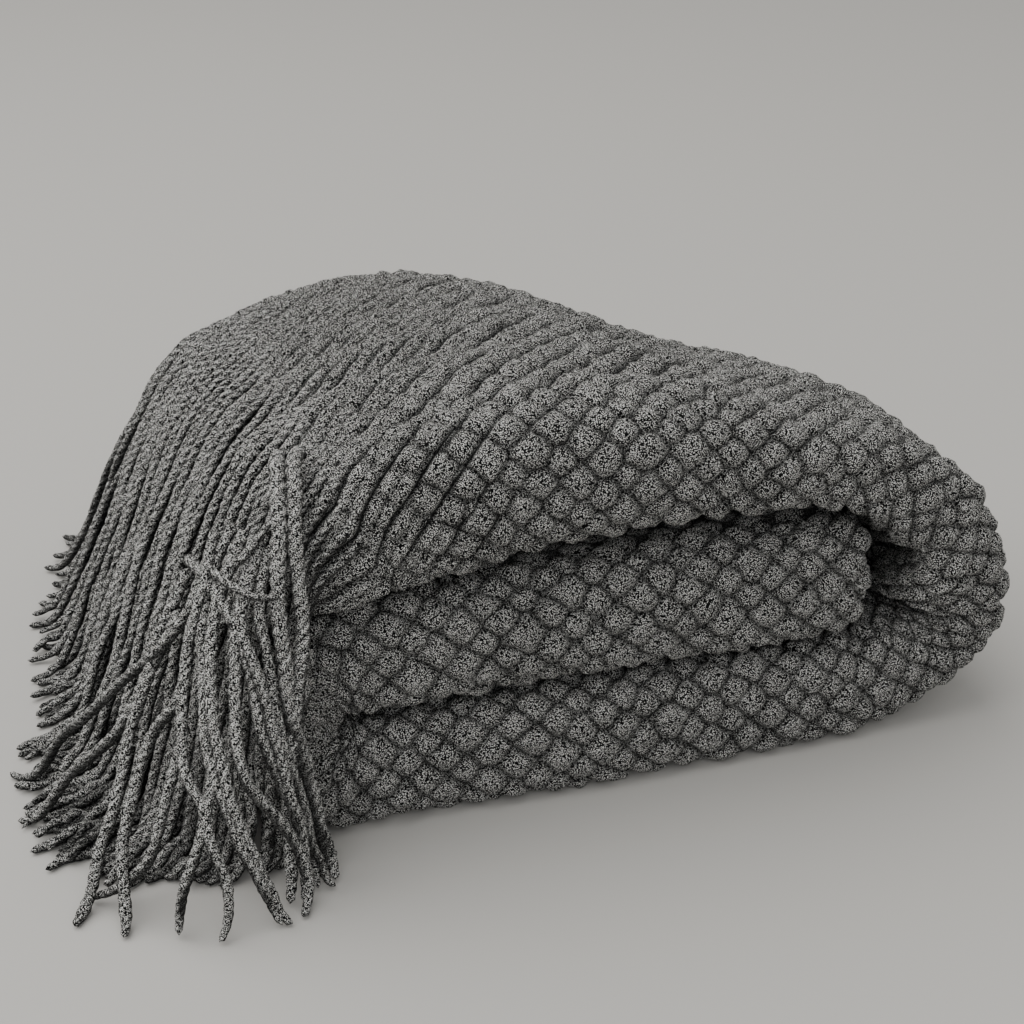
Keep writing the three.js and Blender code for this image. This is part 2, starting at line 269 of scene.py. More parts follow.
@dataclass
class ClothFold:
    """How the flat cloth is folded and rolled: from its own sizes to places in the row."""

    layer_share: float = 0.21
    outer_level: float = 0.395
    inner_level: float = 0.13
    fold_reach: float = 0.8
    fold_fullness: float = 2.8
    depth: float = 0.248
    depth_loss_low: float = 0.025
    depth_loss_high: float = 0.045
    depth_loss_from: float = 0.060
    depth_loss_to: float = 0.300
    open_edge_inset: float = 0.009
    edge_wander: float = 0.005
    height: float = 0.150
    seat: float = 0.0005
    sink_from: float = 0.080
    sink_to: float = 0.270
    sink_left: float = 0.14
    sink_right: float = 0.42
    power_from: float = 0.060
    power_to: float = 0.200
    power_left: float = 4.2
    power_right: float = 2.2
    sink_at_floor: float = 0.5
    upright_rows: float = 1.5
    nudge: float = 0.01
    measuring_steps: int = 2800
    straight_steps: int = 22
    front_steps: int = 18
    outer_steps: int = 30
    back_steps: int = 12
    inner_steps: int = 10
    rim_points: int = 5
    length: float = field(init=False)

    def __post_init__(self) -> None:
        """Measures the cloth's length along the outside of the roll."""
        self._places = np.linspace(0.0, len(BANDS) - 1.0, self.measuring_steps)
        at = self._stations(self._places)
        outside = np.stack([at.x + at.thick / 2 * at.forward_z, at.z - at.thick / 2 * at.forward_x], -1)
        self._run = run_along(outside)
        self.length = float(self._run[-1])

    def _depth_at(self, x: np.ndarray, z: np.ndarray) -> np.ndarray:
        """Front to back at a place, less towards the round end."""
        loss = self.depth_loss_low + self.depth_loss_high * z / self.height
        return self.depth - loss * smoothstep(x, self.depth_loss_from, self.depth_loss_to)

    def _stations(self, places: np.ndarray) -> Stations:
        """The stations at places in the table of bands.

        Args:
            places: Row index plus fraction.

        Returns:
            The stations.
        """
        last = len(BANDS) - 1.0
        before = np.maximum(places - self.nudge, 0.0)
        after = np.minimum(places + self.nudge, last)
        x, z, thick, front = (curve_through(BANDS, name, places) for name in ("x", "z", "thick", "front"))
        steps = [curve_through(BANDS, key, after) - curve_through(BANDS, key, before) for key in ("x", "z")]
        upright = smoothstep(places, last - self.upright_rows, last)[:, None]
        ahead = unit(unit(np.stack(steps, -1)) * (1 - upright) + np.array([-1.0, 0.0]) * upright)
        return Stations(x, z, ahead[:, 0], ahead[:, 1], thick, front, front + self._depth_at(x, z), places)

    def stations(self, u: np.ndarray) -> Stations:
        """The stations at lengths u along the outside of the roll, from the cloth's inner end."""
        return self._stations(np.interp(u, self._run, self._places))

    def section(self, at: Stations, fine: float = 1.0) -> Section:
        """The folded layers' middle line at each station, from the lower open edge to the inner one.

        Args:
            at: The stations.
            fine: How finely the line is divided, against the usual.

        Returns:
            The section, with one row for each station.
        """
        half = self.layer_share * at.thick / 2
        outer, inner = self.outer_level * at.thick, self.inner_level * at.thick
        fold = at.front + self.fold_reach * (outer + half)
        back_radius = (outer - inner) / 2
        back = at.back - back_radius - half
        low_edge = at.back - self.open_edge_inset - self.edge_wander * np.sin(at.wave)
        inner_edge = at.back - 2 * self.open_edge_inset - self.edge_wander * np.cos(at.wave)
        counts = (self.straight_steps, self.front_steps, self.outer_steps, self.back_steps, self.inner_steps)
        straight, bend, outside, behind, inside = (round(count * fine) for count in counts)
        front = (self.fold_reach, self.fold_fullness)
        level = np.zeros_like(outer)
        pieces = [
            self._rim(low_edge, half, -outer, -1),
            self._layer(low_edge, fold, -outer, -1, straight)[..., 1:],
            self._turn(fold, level, outer, (3, 1), 2 * bend, 1, *front),
        ]
        apex = sum(piece.shape[-1] for piece in pieces) - 1 - bend
        pieces += [
            self._layer(fold, back, outer, 1, outside),
            self._turn(back, (outer + inner) / 2, back_radius, (1, -1), behind, 1, 1.0, 2.0),
        ]
        fold_end = sum(piece.shape[-1] for piece in pieces) - 1
        pieces += [
            self._layer(back, fold, inner, -1, straight),
            self._turn(fold, level, inner, (1, 3), inside, -1, *front),
            self._layer(fold, inner_edge, -inner, 1, straight)[..., :-1],
            self._rim(inner_edge, half, -inner, 1)[..., ::-1],
        ]
        y, w, out_y, out_w, thick = np.concatenate(pieces, -1)
        return Section(y, w, out_y, out_w, half[:, None] * thick, apex, fold_end)

    @staticmethod
    def _layer(start: np.ndarray, end: np.ndarray, w: np.ndarray, side: int, steps: int) -> np.ndarray:
        """One flat layer of the section.

        Args:
            start: How far back it begins, at each station.
            end: How far back it ends.
            w: How far across the band it lies.
            side: The way that its outer face looks, 1 or -1.
            steps: How many steps it has.

        Returns:
            y, w, the way out in y and in w, and the share of the full thickness, by station and step.
        """
        y = start[:, None] + (end - start)[:, None] * np.linspace(0.0, 1.0, steps + 1)[None, :]
        flat = np.zeros_like(y)
        return np.stack([y, flat + w[:, None], flat, flat + side, flat + 1.0])

    def _rim(self, edge: np.ndarray, half: np.ndarray, w: np.ndarray, side: int) -> np.ndarray:
        """The rounding of a layer's open edge, from its outermost point inwards.

        Args:
            edge: How far back it reaches, at each station.
            half: Half the layer's thickness.
            w: How far across the band it lies.
            side: The way that its outer face looks, 1 or -1.

        Returns:
            The same five values as a layer has.
        """
        bend = np.linspace(0.0, math.pi / 2, self.rim_points)[None, :]
        y = edge[:, None] - half[:, None] * (1 - np.cos(bend))
        flat = np.zeros_like(y)
        return np.stack([y, flat + w[:, None], flat, flat + side, flat + np.sin(bend)])

    @staticmethod
    def _turn(y: np.ndarray, w: np.ndarray, radius: np.ndarray, quarters: tuple[int, int], steps: int,
              side: int, reach: float, fullness: float) -> np.ndarray:
        """A fold from one layer to the next.

        Args:
            y: How far back its middle is, at each station.
            w: How far across the band its middle is.
            radius: Its radius.
            quarters: Where it begins and ends, in quarter turns from straight back.
            steps: How many steps it has.
            side: 1 where the outer face is outside the fold, or -1.
            reach: How far it stands out, against a half circle.
            fullness: 2 for a round fold, more for a fuller one.

        Returns:
            The same five values as a layer has.
        """
        angle = np.linspace(quarters[0] * math.pi / 2, quarters[1] * math.pi / 2, steps + 1)[None, :]
        cosine, sine = np.cos(angle), np.sin(angle)
        over = reach * np.sign(cosine) * np.abs(cosine) ** (2 / fullness)
        up = np.sign(sine) * np.abs(sine) ** (2 / fullness)
        ones = np.ones((len(radius), steps + 1))
        return np.stack([y[:, None] + radius[:, None] * over, w[:, None] + radius[:, None] * up,
                         side * over * ones, side * up * ones, ones])

    def settle(self, x: np.ndarray, y: np.ndarray, z: np.ndarray) -> np.ndarray:
        """Moves points of the even pile to where they lie in the sunken one, in the row's frame.

        Args:
            x: Along the front.
            y: To the back.
            z: Up.

        Returns:
            The settled points, on a new last axis.
        """
        share = np.maximum(y, 0.0) / self._depth_at(x, np.zeros_like(x))
        round_end = smoothstep(x, self.sink_from, self.sink_to)
        sink = self.sink_left + (self.sink_right - self.sink_left) * round_end
        round_end = smoothstep(x, self.power_from, self.power_to)
        power = self.power_left + (self.power_right - self.power_left) * round_end
        height = self.sink_at_floor + (1 - self.sink_at_floor) * z / self.height
        low = np.maximum(0.0, z * (1 - sink * share**power * height) - self.seat)
        return np.stack([x, y, low], -1) - ORIGIN

    def placed(self, at: Stations, y: np.ndarray, w: np.ndarray, ahead: float = 0.0) -> np.ndarray:
        """Points of the sections, in the row's frame.

        Args:
            at: The stations, one for each row of y and w.
            y: To the back.
            w: Across the band, away from the inside of the roll.
            ahead: How far past the station they lie.

        Returns:
            The points, on a new last axis.
        """
        shape = (-1,) + (1,) * (np.ndim(y) - 1)
        fx, fz = at.forward_x.reshape(shape), at.forward_z.reshape(shape)
        x = at.x.reshape(shape) + ahead * fx + w * fz
        z = at.z.reshape(shape) + ahead * fz - w * fx
        return self.settle(x + 0 * y, y + 0 * x, z + 0 * y)


@dataclass(frozen=True)
class Crease:
    """A soft trough (depth above 0) or ridge (below 0) across the outer face, from one place to another."""

    u0: float
    v0: float
    u1: float
    v1: float
    width: float
    depth: float


@dataclass
class OuterFace:
    """The cloth's outer face, as a fine table of places and directions over its flat sizes.

    u runs along the cloth from its inner end, and v across it from where the front fold stands out most.
    """

    fold: ClothFold
    creases: tuple[Crease, ...] = ()
    v_low: float = -0.100
    v_high: float = 0.330
    step: float = 0.0015
    slack_height: float = 0.0011
    slack_size: float = 0.055
    slack_seed: int = 11
    crease_end: float = 0.08
    core: float = 0.03

    def __post_init__(self) -> None:
        """Works out the table."""
        rows = int(self.fold.length / self.step) + 1
        self._u = np.linspace(0.0, self.fold.length, rows)
        self._v = np.arange(self.v_low, self.v_high, self.step)
        at = self.fold.stations(self._u)
        section = self.fold.section(at, fine=2.0)
        lines = section.face(1)
        runs = run_along(np.stack(lines, -1))
        runs -= runs[:, section.apex:section.apex + 1]
        self._back_end = runs[:, section.fold_end]
        y, w = (np.array([np.interp(self._v, *pair) for pair in zip(runs, line)]) for line in lines)
        points = self.fold.placed(at, y, w)
        along = np.gradient(points, axis=0)
        across = np.gradient(points, axis=1)
        self._normals = unit(np.cross(across, along))
        core = self.fold.placed(at, section.y[:, section.apex:section.apex + 1] + self.core + 0 * y, 0 * w)
        if np.sum(self._normals * (points - core)) < 0:
            self._normals *= -1
        grid_u, grid_v = np.meshgrid(self._u, self._v, indexing="ij")
        lift = self.slack_height * drift(grid_u, grid_v, self.slack_size, self.slack_seed)
        for crease in self.creases:
            lift -= crease.depth * self._near(crease, grid_u, grid_v)
        self._points = points + lift[..., None] * self._normals
        self._points[..., 2] = np.maximum(self._points[..., 2], 0.0)

    def _near(self, crease: Crease, u: np.ndarray, v: np.ndarray) -> np.ndarray:
        """How much a crease is felt at each place.

        Args:
            crease: The crease.
            u: Along the cloth.
            v: Across it.

        Returns:
            The share of its depth, from 0 to 1.
        """
        du, dv = crease.u1 - crease.u0, crease.v1 - crease.v0
        along = np.clip(((u - crease.u0) * du + (v - crease.v0) * dv) / (du * du + dv * dv), 0.0, 1.0)
        away = np.hypot(u - crease.u0 - along * du, v - crease.v0 - along * dv)
        fade = np.sin(math.pi * np.clip(along, self.crease_end, 1 - self.crease_end)) ** 0.5
        return fade * np.exp(-((away / crease.width) ** 2))

    def _read(self, table: np.ndarray, u: np.ndarray, v: np.ndarray) -> np.ndarray:
        """A table's values between its places.

        Args:
            table: Values by place along and across.
            u: Along the cloth.
            v: Across it.

        Returns:
            The value at each place.
        """
        a = np.clip(u / self._u[1], 0.0, len(self._u) - 1.001)
        b = np.clip((v - self.v_low) / self.step, 0.0, len(self._v) - 1.001)
        i, j = a.astype(int), b.astype(int)
        p, q = (a - i)[..., None], (b - j)[..., None]
        near = table[i, j] * (1 - p) + table[i + 1, j] * p
        far = table[i, j + 1] * (1 - p) + table[i + 1, j + 1] * p
        return near * (1 - q) + far * q

    def point(self, u: np.ndarray, v: np.ndarray, lift: np.ndarray | float = 0.0) -> np.ndarray:
        """Places on the face, or off it by lift.

        Args:
            u: Along the cloth.
            v: Across it.
            lift: How far outward of the face.

        Returns:
            The places in the row's frame.
        """
        outward = unit(self._read(self._normals, u, v))
        return self._read(self._points, u, v) + np.asarray(lift)[..., None] * outward

    def back_at(self, u: np.ndarray) -> np.ndarray:
        """How far across the back fold ends, at each place along."""
        return np.interp(u, self._u, self._back_end)


# The knit


@dataclass
class BobbleKnit:
    """The raised pattern: round soft bobbles that crowd each other, each a little unlike the next.

    Towards the fringe the bobbles of each slanting row run together into cords, and the cords part in two.
    """

    height: float = 0.0044
    groove: float = -0.0034
    pit: float = 0.0010
    pit_from: float = 0.0062
    pit_to: float = 0.0092
    roundness: float = 2.2
    crown: float = 0.52
    uneven: float = 0.13
    least: float = 0.72
    askew: float = 0.17
    tilt: float = 0.0018
    lump: float = 0.00065
    lump_size: float = 0.0034
    lump_seeds: tuple[int, int] = (21, 22)
    lump_in_groove: float = 0.3
    over_from: float = 0.050
    over_to: float = 0.120
    cord_from: float = 0.200
    cord_to: float = 0.090
    cord_share: float = 0.6
    cord_round: float = 0.8
    rope_from: float = 0.120
    rope_to: float = 0.065
    rope_later: float = 0.04
    rope_below: float = 0.4
    rope_full: float = 1.6
    rope_round: float = 1.1
    rope_sunk: float = 0.3
    calm: float = 0.75
    calm_at: float = 0.305
    calm_near: float = 0.025
    calm_far: float = 0.065
    calm_across: float = 0.03
    calm_height: float = 0.5
    calm_crown: float = 0.6
    seed: int = 7

    def __post_init__(self) -> None:
        """Draws each bobble's own size, lean and place."""
        rng = np.random.default_rng(self.seed)
        size = (CHANCES, CHANCES)
        self._amount = np.clip(1 + self.uneven * rng.standard_normal(size), self.least, 2 - self.least)
        self._lean = rng.uniform(-1, 1, (2,) + size)
        self._place = 0.5 + self.askew * rng.uniform(-1, 1, (2,) + size)

    @staticmethod
    def lattice(u: np.ndarray, v: np.ndarray) -> tuple[np.ndarray, np.ndarray]:
        """The two diagonal counts of bobbles at a place of the flat cloth."""
        a, b = (u - REPEAT_START[0]) / REPEAT_ALONG, (v - REPEAT_START[1]) / REPEAT_ACROSS
        return a + b, a - b

    @staticmethod
    def flat(s: np.ndarray, t: np.ndarray) -> tuple[np.ndarray, np.ndarray]:
        """The place of the flat cloth at two diagonal counts."""
        return REPEAT_START[0] + (s + t) * REPEAT_ALONG / 2, REPEAT_START[1] + (s - t) * REPEAT_ACROSS / 2

    def _bobbles(self, s: np.ndarray, t: np.ndarray) -> tuple[np.ndarray, np.ndarray, np.ndarray]:
        """The nearest bobble at each place.

        Args:
            s: One diagonal count.
            t: The other.

        Returns:
            Its full height, the share of it from rim (0) to crown (1), and the pit's depth.
        """
        i, j = np.floor(s).astype(int), np.floor(t).astype(int)
        near = np.full(s.shape, 1.0)
        following = np.full(s.shape, 1.0)
        rise = np.zeros(s.shape)
        for row in (-1, 0, 1):
            for column in (-1, 0, 1):
                k = ((i + row) % CHANCES, (j + column) % CHANCES)
                ds, dt = s - i - row - self._place[0][k], t - j - column - self._place[1][k]
                away = np.hypot((ds + dt) * REPEAT_ALONG / 2, (ds - dt) * REPEAT_ACROSS / 2) / self._amount[k]
                closer = away < near
                lean = ds * self._lean[0][k] + dt * self._lean[1][k]
                own = self.height * self._amount[k] + self.tilt * lean
                following = np.where(closer, near, np.minimum(following, away))
                rise = np.where(closer, own, rise)
                near = np.minimum(near, away)
        dome = np.maximum(0.0, 1 - (2 * near / (near + following)) ** self.roundness) ** self.crown
        return rise, dome, self.pit * smoothstep(near, self.pit_from, self.pit_to)

    def relief(self, s: np.ndarray, t: np.ndarray, left: np.ndarray,
               v: np.ndarray) -> tuple[np.ndarray, np.ndarray]:
        """The pattern's height, and how far up its bobble each place is.

        Args:
            s: One diagonal count.
            t: The other.
            left: How far the fringed end is.
            v: How far across the cloth.

        Returns:
            The height off the cloth's face, and the share from groove (0) to crown (1).
        """
        over = smoothstep(v, self.over_from, self.over_to)
        cord = (1 - smoothstep(left, self.cord_to, self.cord_from)) * self.cord_share * over
        later = self.rope_later
        rope = 1 - smoothstep(left - later * over, self.rope_to - later, self.rope_from - later)
        rope = rope * (self.rope_below + (1 - self.rope_below) * over)
        full, dome, pit = self._bobbles(s, t)
        across = np.abs(2 * (s - np.floor(s)) - 1)
        cords = np.maximum(0.0, 1 - across**2) ** self.cord_round
        ropes = np.maximum(0.0, 1 - (2 * np.abs(across - 0.5)) ** self.rope_full) ** self.rope_round
        dome = dome ** (1 - cord) * cords**cord
        dome = dome ** (1 - rope) * ropes**rope
        rise = full * dome * (1 - self.rope_sunk * rope) - pit * (1 - cord) * (1 - rope)
        u, v = self.flat(s, t)
        calm = self.calm * (1 - smoothstep(np.abs(u - self.calm_at), self.calm_near, self.calm_far))
        calm = calm * (1 - smoothstep(v, 0.0, self.calm_across))
        rise = rise * (1 - calm) + self.calm_height * self.height * calm
        dome = dome * (1 - calm) + self.calm_crown * calm
        coarse, fine = self.lump_seeds
        lumps = drift(u, v, self.lump_size, coarse) + 0.6 * drift(u, v, self.lump_size / 2, fine)
        lumps = lumps * (self.lump_in_groove + (1 - self.lump_in_groove) * dome)
        return self.groove + rise + self.lump * lumps, dome


# Meshes


def grid_mesh(name: str, columns: int, rows: int, close: Callable[[bmesh.types.BMesh], None] | None,
              place: Callable[[np.ndarray, np.ndarray], dict[str, np.ndarray]]) -> bpy.types.Object:
    """A piece made from a grid whose points are moved to where place says.

    Args:
        name: The piece's name.
        columns: Divisions across.
        rows: Divisions along.
        close: What is done to the placed mesh, such as welding a seam, or None.
        place: Takes the column and row of each point, and gives co and the point's other values.

    Returns:
        The piece, linked to the scene, with the grid itself as its UV map.
    """
    bm = bmesh.new()
    bm.loops.layers.uv.new("grid")
    bmesh.ops.create_grid(bm, x_segments=columns, y_segments=rows, size=0.5, calc_uvs=True)
    mesh = bpy.data.meshes.new(name)
    bm.to_mesh(mesh)
    bm.free()
    flat = np.empty(len(mesh.vertices) * 3)
    mesh.vertices.foreach_get("co", flat)
    flat = flat.reshape(-1, 3)
    values = place((flat[:, 0] + 0.5) * columns, (flat[:, 1] + 0.5) * rows)
    mesh.vertices.foreach_set("co", values.pop("co").ravel())
    keep = values.pop("keep", None)
    for key, value in values.items():
        mesh.attributes.new(key, "FLOAT", "POINT").data.foreach_set("value", value.astype(np.float32))
    bm = bmesh.new()
    bm.from_mesh(mesh)
    if keep is not None:
        bm.verts.ensure_lookup_table()
        gone = [face for face in bm.faces if not all(keep[vert.index] for vert in face.verts)]
        bmesh.ops.delete(bm, geom=gone, context="FACES")
    if close is not None:
        close(bm)
    bm.to_mesh(mesh)
    bm.free()
    mesh.shade_smooth()
    piece = bpy.data.objects.new(name, mesh)
    bpy.context.scene.collection.objects.link(piece)
    return piece


@dataclass
class FoldedThrow:
    """The cloth: one folded sheet, with the raised knit of its outer face where that shows."""

    fold: ClothFold
    face: OuterFace
    knit: BobbleKnit
    per_bobble: int = 13
    slot_reach: float = 0.070
    lip_reach: float = 0.048
    round_end: tuple[float, float] = (0.600, 0.830)
    shut_from: float = 0.040
    shut_to_back: float = 0.045
    tuck: float = 0.012
    rim_tuck: float = 0.0035
    recess: float = 0.0078
    bare_recess: float = 0.0006
    thinnest: float = 0.002
    sheet_crown: float = 0.6
    sheet_step: float = 0.0072
    end_round: float = 0.005
    past_end: float = 0.004
    rim_width: float = 0.006
    off_floor: float = 0.0002

    def sheet(self) -> bpy.types.Object:
        """The folded sheet itself, both faces and its rounded edges.

        Returns:
            The piece.
        """
        rows = int(self.fold.length / self.sheet_step)
        bend = self.end_round * (1 - np.cos(np.linspace(0.0, math.pi / 2, 4)))
        inside = np.linspace(self.end_round, self.fold.length - self.end_round, rows)[1:-1]
        u = np.concatenate([bend, inside, self.fold.length - bend[::-1]])
        at = self.fold.stations(u)
        section = self.fold.section(at, fine=0.8)
        near_end = np.clip(np.minimum(u, self.fold.length - u) / self.end_round, 0.0, 1.0)
        section.half = section.half * np.sqrt(1 - (1 - near_end) ** 2)[:, None]
        sides = []
        runs = []
        for side in (1, -1):
            y, w = section.face(side)
            run = run_along(np.stack([y, w], -1))
            run -= run[:, section.apex:section.apex + 1]
            covered = (side == 1) * self._shows(u[:, None] + 0 * run, run)
            back = self.bare_recess + (self.recess - self.bare_recess) * covered
            back = side * back * (section.half > self.thinnest)
            runs.append(run)
            sides.append(self.fold.placed(at, y - back * section.out_y, w - back * section.out_w))
        ring = np.concatenate([sides[0], sides[1][:, ::-1], sides[0][:, :1]], 1)
        run = np.concatenate([runs[0], runs[1][:, ::-1], runs[0][:, :1]], 1)

        def place(column: np.ndarray, row: np.ndarray) -> dict[str, np.ndarray]:
            """The place and the other values at each point of the grid.

            Args:
                column: The point's column.
                row: Its row.

            Returns:
                The place, the cloth's own sizes there and the crown.
            """
            i, j = np.rint(row).astype(int), np.rint(column).astype(int)
            crown = np.full(len(i), self.sheet_crown)
            return {"co": ring[i, j], "along": u[i], "across": run[i, j], "crown": crown}

        def close(bm: bmesh.types.BMesh) -> None:
            """Welds the sheet's edges and turns its faces outward."""
            bmesh.ops.remove_doubles(bm, verts=bm.verts[:], dist=2e-6)
            bmesh.ops.recalc_face_normals(bm, faces=bm.faces[:])

        return grid_mesh("throw_sheet", ring.shape[1] - 1, len(u) - 1, close, place)

    def _reach(self, u: np.ndarray) -> np.ndarray:
        """How far round the front fold the knit is raised: further in the open slot of the round end."""
        open_slot = (u > self.round_end[0]) & (u < self.round_end[1])
        return np.where(open_slot, self.slot_reach, self.lip_reach)

    def _shows(self, u: np.ndarray, v: np.ndarray) -> np.ndarray:
        """Where the outer face's knit is raised: where it isn't shut away between layers.

        Args:
            u: Along the cloth.
            v: Across it.

        Returns:
            Whether it is, at each place.
        """
        back = self.face.back_at(u)
        shut = (u < self.round_end[0]) & (v > self.shut_from) & (v < back - self.shut_to_back)
        within = (u > -self.past_end) & (u < self.fold.length + self.past_end)
        return (v > -self._reach(u)) & (v < back + self.tuck) & within & ~shut

    def knit_face(self, name: str, u_range: tuple[float, float],
                  v_range: tuple[float, float]) -> bpy.types.Object:
        """The raised knit over one stretch of the cloth, cut along whole repeats.

        Args:
            name: The piece's name.
            u_range: Where it begins and ends along the cloth.
            v_range: Where it begins and ends across it.

        Returns:
            The piece.
        """
        corners = [BobbleKnit.lattice(np.array(u), np.array(v)) for u in u_range for v in v_range]
        s0, s1 = math.floor(min(c[0] for c in corners)) - 1, math.ceil(max(c[0] for c in corners)) + 1
        t0, t1 = math.floor(min(c[1] for c in corners)) - 1, math.ceil(max(c[1] for c in corners)) + 1
        fine = self.per_bobble

        def own(s: np.ndarray, t: np.ndarray) -> np.ndarray:
            """Whether each place's repeat of the pattern belongs to this piece."""
            u, v = BobbleKnit.flat(np.floor(s) + 0.5, np.floor(t) + 0.5)
            return (u > u_range[0]) & (u <= u_range[1]) & (v > v_range[0]) & (v <= v_range[1])

        def place(column: np.ndarray, row: np.ndarray) -> dict[str, np.ndarray]:
            """The place and the other values at each point of the grid.

            Args:
                column: The point's column.
                row: Its row.

            Returns:
                The place, the cloth's own sizes there, the crown (which the finish turns into painted shade
                in the grooves), and whether the point is kept.
            """
            s, t = s0 + np.rint(column) / fine, t0 + np.rint(row) / fine
            u, v = BobbleKnit.flat(s, t)
            height, dome = self.knit.relief(s, t, self.fold.length - u, v)
            edge = np.minimum(
                np.minimum(v + self._reach(u), self.face.back_at(u) + self.tuck - v),
                np.minimum(u, self.fold.length - u),
            )
            lift = height - self.rim_tuck * (1 - smoothstep(edge, 0.0, self.rim_width))
            co = self.face.point(np.clip(u, 0.0, self.fold.length), v, lift)
            co[:, 2] = np.maximum(co[:, 2], self.off_floor)
            inside = np.zeros(len(s), bool)
            for a in (-1e-4, 1e-4):
                for b in (-1e-4, 1e-4):
                    inside |= own(s + a, t + b)
            return {"co": co, "along": u, "across": v, "crown": dome, "keep": self._shows(u, v) & inside}

        def close(bm: bmesh.types.BMesh) -> None:
            """Drops the points that no face is left on."""
            loose = [vert for vert in bm.verts if not vert.link_faces]
            bmesh.ops.delete(bm, geom=loose, context="VERTS")

        return grid_mesh(name, (s1 - s0) * fine, (t1 - t0) * fine, close, place)


# The fringe


@dataclass(frozen=True)
class LooseStrand:
    """A strand given by points along it in millimetres of the throw's own sizes."""

    name: str
    points: tuple[tuple[float, float, float], ...]
    thick: float = 1.0


LOOSE_STRANDS = (
    LooseStrand("lip_left", ((-8, 8, 165), (-9, 3, 167), (-11, -6, 166), (-13, -15, 162), (-15, -22, 154),
                             (-17, -30, 139), (-19, -35, 121), (-19, -40, 99), (-17, -43, 76),
                             (-13, -43, 53), (-10, -43, 36), (-6, -42, 13), (-4, -44, 3),
                             (-4, -46, 2)), thick=1.38),
    LooseStrand("lip_right", ((1, 6, 167), (-3, -1, 168), (-5, -9, 167), (-7, -17, 162), (-9, -23, 154),
                              (-10, -30, 137), (-10, -34, 113), (-13, -39, 93), (-17, -43, 73),
                              (-20, -45, 54), (-22, -48, 32), (-23, -52, 11), (-25, -56, 2)), thick=1.28),
    LooseStrand("tangle_main", ((-46, 6, 127), (-44, -3, 129), (-42, -13, 127), (-39, -25, 122),
                                (-34, -37, 113), (-30, -43, 102), (-28, -47, 87), (-25, -50, 68),
                                (-21, -52, 48), (-18, -53, 26), (-18, -53, 6), (-19, -56, 2)), thick=1.08),
    LooseStrand("tangle_hook", ((-35, 1, 141), (-38, -7, 139), (-40, -11, 135), (-43, -16, 128),
                                (-45, -18, 124), (-49, -21, 115), (-52, -25, 106)), thick=0.90),
    LooseStrand("tangle_thread", ((-42, -16, 134), (-39, -23, 132), (-33, -31, 130), (-29, -34, 129),
                                  (-22, -37, 128), (-17, -35, 127)), thick=0.70),
    LooseStrand("tangle_loop", ((-34, -24, 136), (-28, -25, 141), (-23, -24, 147), (-19, -23, 151),
                                (-15, -21, 154)), thick=0.80),
    LooseStrand("fan_1", ((-31, 5, 140), (-39, -5, 132), (-44, -13, 121), (-50, -18, 109), (-54, -24, 96),
                          (-57, -30, 87), (-59, -36, 75), (-60, -45, 64), (-56, -54, 53), (-55, -61, 40),
                          (-51, -65, 29), (-50, -67, 15), (-53, -69, 4), (-56, -72, 2)), thick=1.00),
    LooseStrand("fan_2", ((-28, -2, 143), (-37, -10, 134), (-43, -16, 122), (-47, -25, 108), (-49, -33, 96),
                          (-51, -42, 81), (-51, -48, 68), (-48, -56, 53), (-44, -61, 39), (-37, -65, 21),
                          (-33, -65, 7), (-31, -69, 2)), thick=1.00),
    LooseStrand("fan_3", ((-25, -11, 145), (-34, -18, 132), (-42, -25, 118), (-46, -35, 100),
                          (-48, -45, 81), (-46, -55, 59), (-41, -61, 38), (-35, -63, 18), (-30, -64, 5),
                          (-26, -68, 2)), thick=1.12),
    LooseStrand("fan_4", ((-23, -17, 146), (-30, -27, 129), (-36, -36, 111), (-38, -41, 98), (-40, -46, 85),
                          (-40, -51, 71), (-37, -55, 57), (-29, -56, 44), (-21, -55, 29), (-17, -56, 14),
                          (-19, -60, 3), (-22, -66, 2)), thick=1.08),
    LooseStrand("fan_5", ((-21, -20, 144), (-28, -28, 132), (-33, -33, 120), (-33, -38, 108),
                          (-32, -43, 92), (-31, -48, 78), (-26, -50, 59), (-21, -51, 44), (-12, -47, 19),
                          (-8, -47, 4), (-5, -50, 2)), thick=1.00),
    LooseStrand("fan_6", ((-18, -21, 142), (-24, -29, 130), (-26, -34, 120), (-25, -38, 107),
                          (-25, -42, 93), (-23, -46, 73), (-19, -47, 55), (-15, -47, 34), (-12, -46, 12),
                          (-12, -49, 2)), thick=1.00),
    LooseStrand("fan_7", ((-43, 0, 122), (-50, -15, 106), (-58, -27, 85), (-67, -22, 71), (-75, -23, 53),
                          (-80, -27, 40), (-85, -33, 27), (-87, -43, 13), (-88, -50, 3),
                          (-90, -57, 2)), thick=1.08),
    LooseStrand("fan_8", ((-45, 11, 121), (-53, 5, 109), (-61, 1, 97), (-66, -4, 84), (-74, -7, 66),
                          (-79, -12, 53), (-85, -19, 37), (-92, -23, 23), (-98, -30, 8), (-103, -37, 2),
                          (-107, -44, 2)), thick=1.08),
    LooseStrand("sweep_1", ((-39, -6, 130), (-46, -12, 120), (-57, -9, 102), (-69, 4, 84), (-85, 22, 59),
                            (-99, 45, 33), (-108, 59, 11), (-116, 68, 2), (-121, 74, 2)), thick=1.00),
    LooseStrand("sweep_2", ((-51, 0, 109), (-59, -3, 96), (-66, -2, 84), (-79, 1, 59), (-99, 21, 29),
                            (-112, 31, 6), (-121, 36, 2)), thick=1.05),
    LooseStrand("tail_1", ((-49, -48, 71), (-52, -53, 59), (-56, -57, 47), (-60, -60, 37), (-66, -61, 22),
                           (-69, -60, 7), (-70, -63, 2)), thick=0.95),
    LooseStrand("low_1", ((-57, -31, 76), (-62, -36, 63), (-70, -41, 42), (-77, -43, 24), (-90, -33, 8),
                          (-99, -27, 2)), thick=1.00),
)


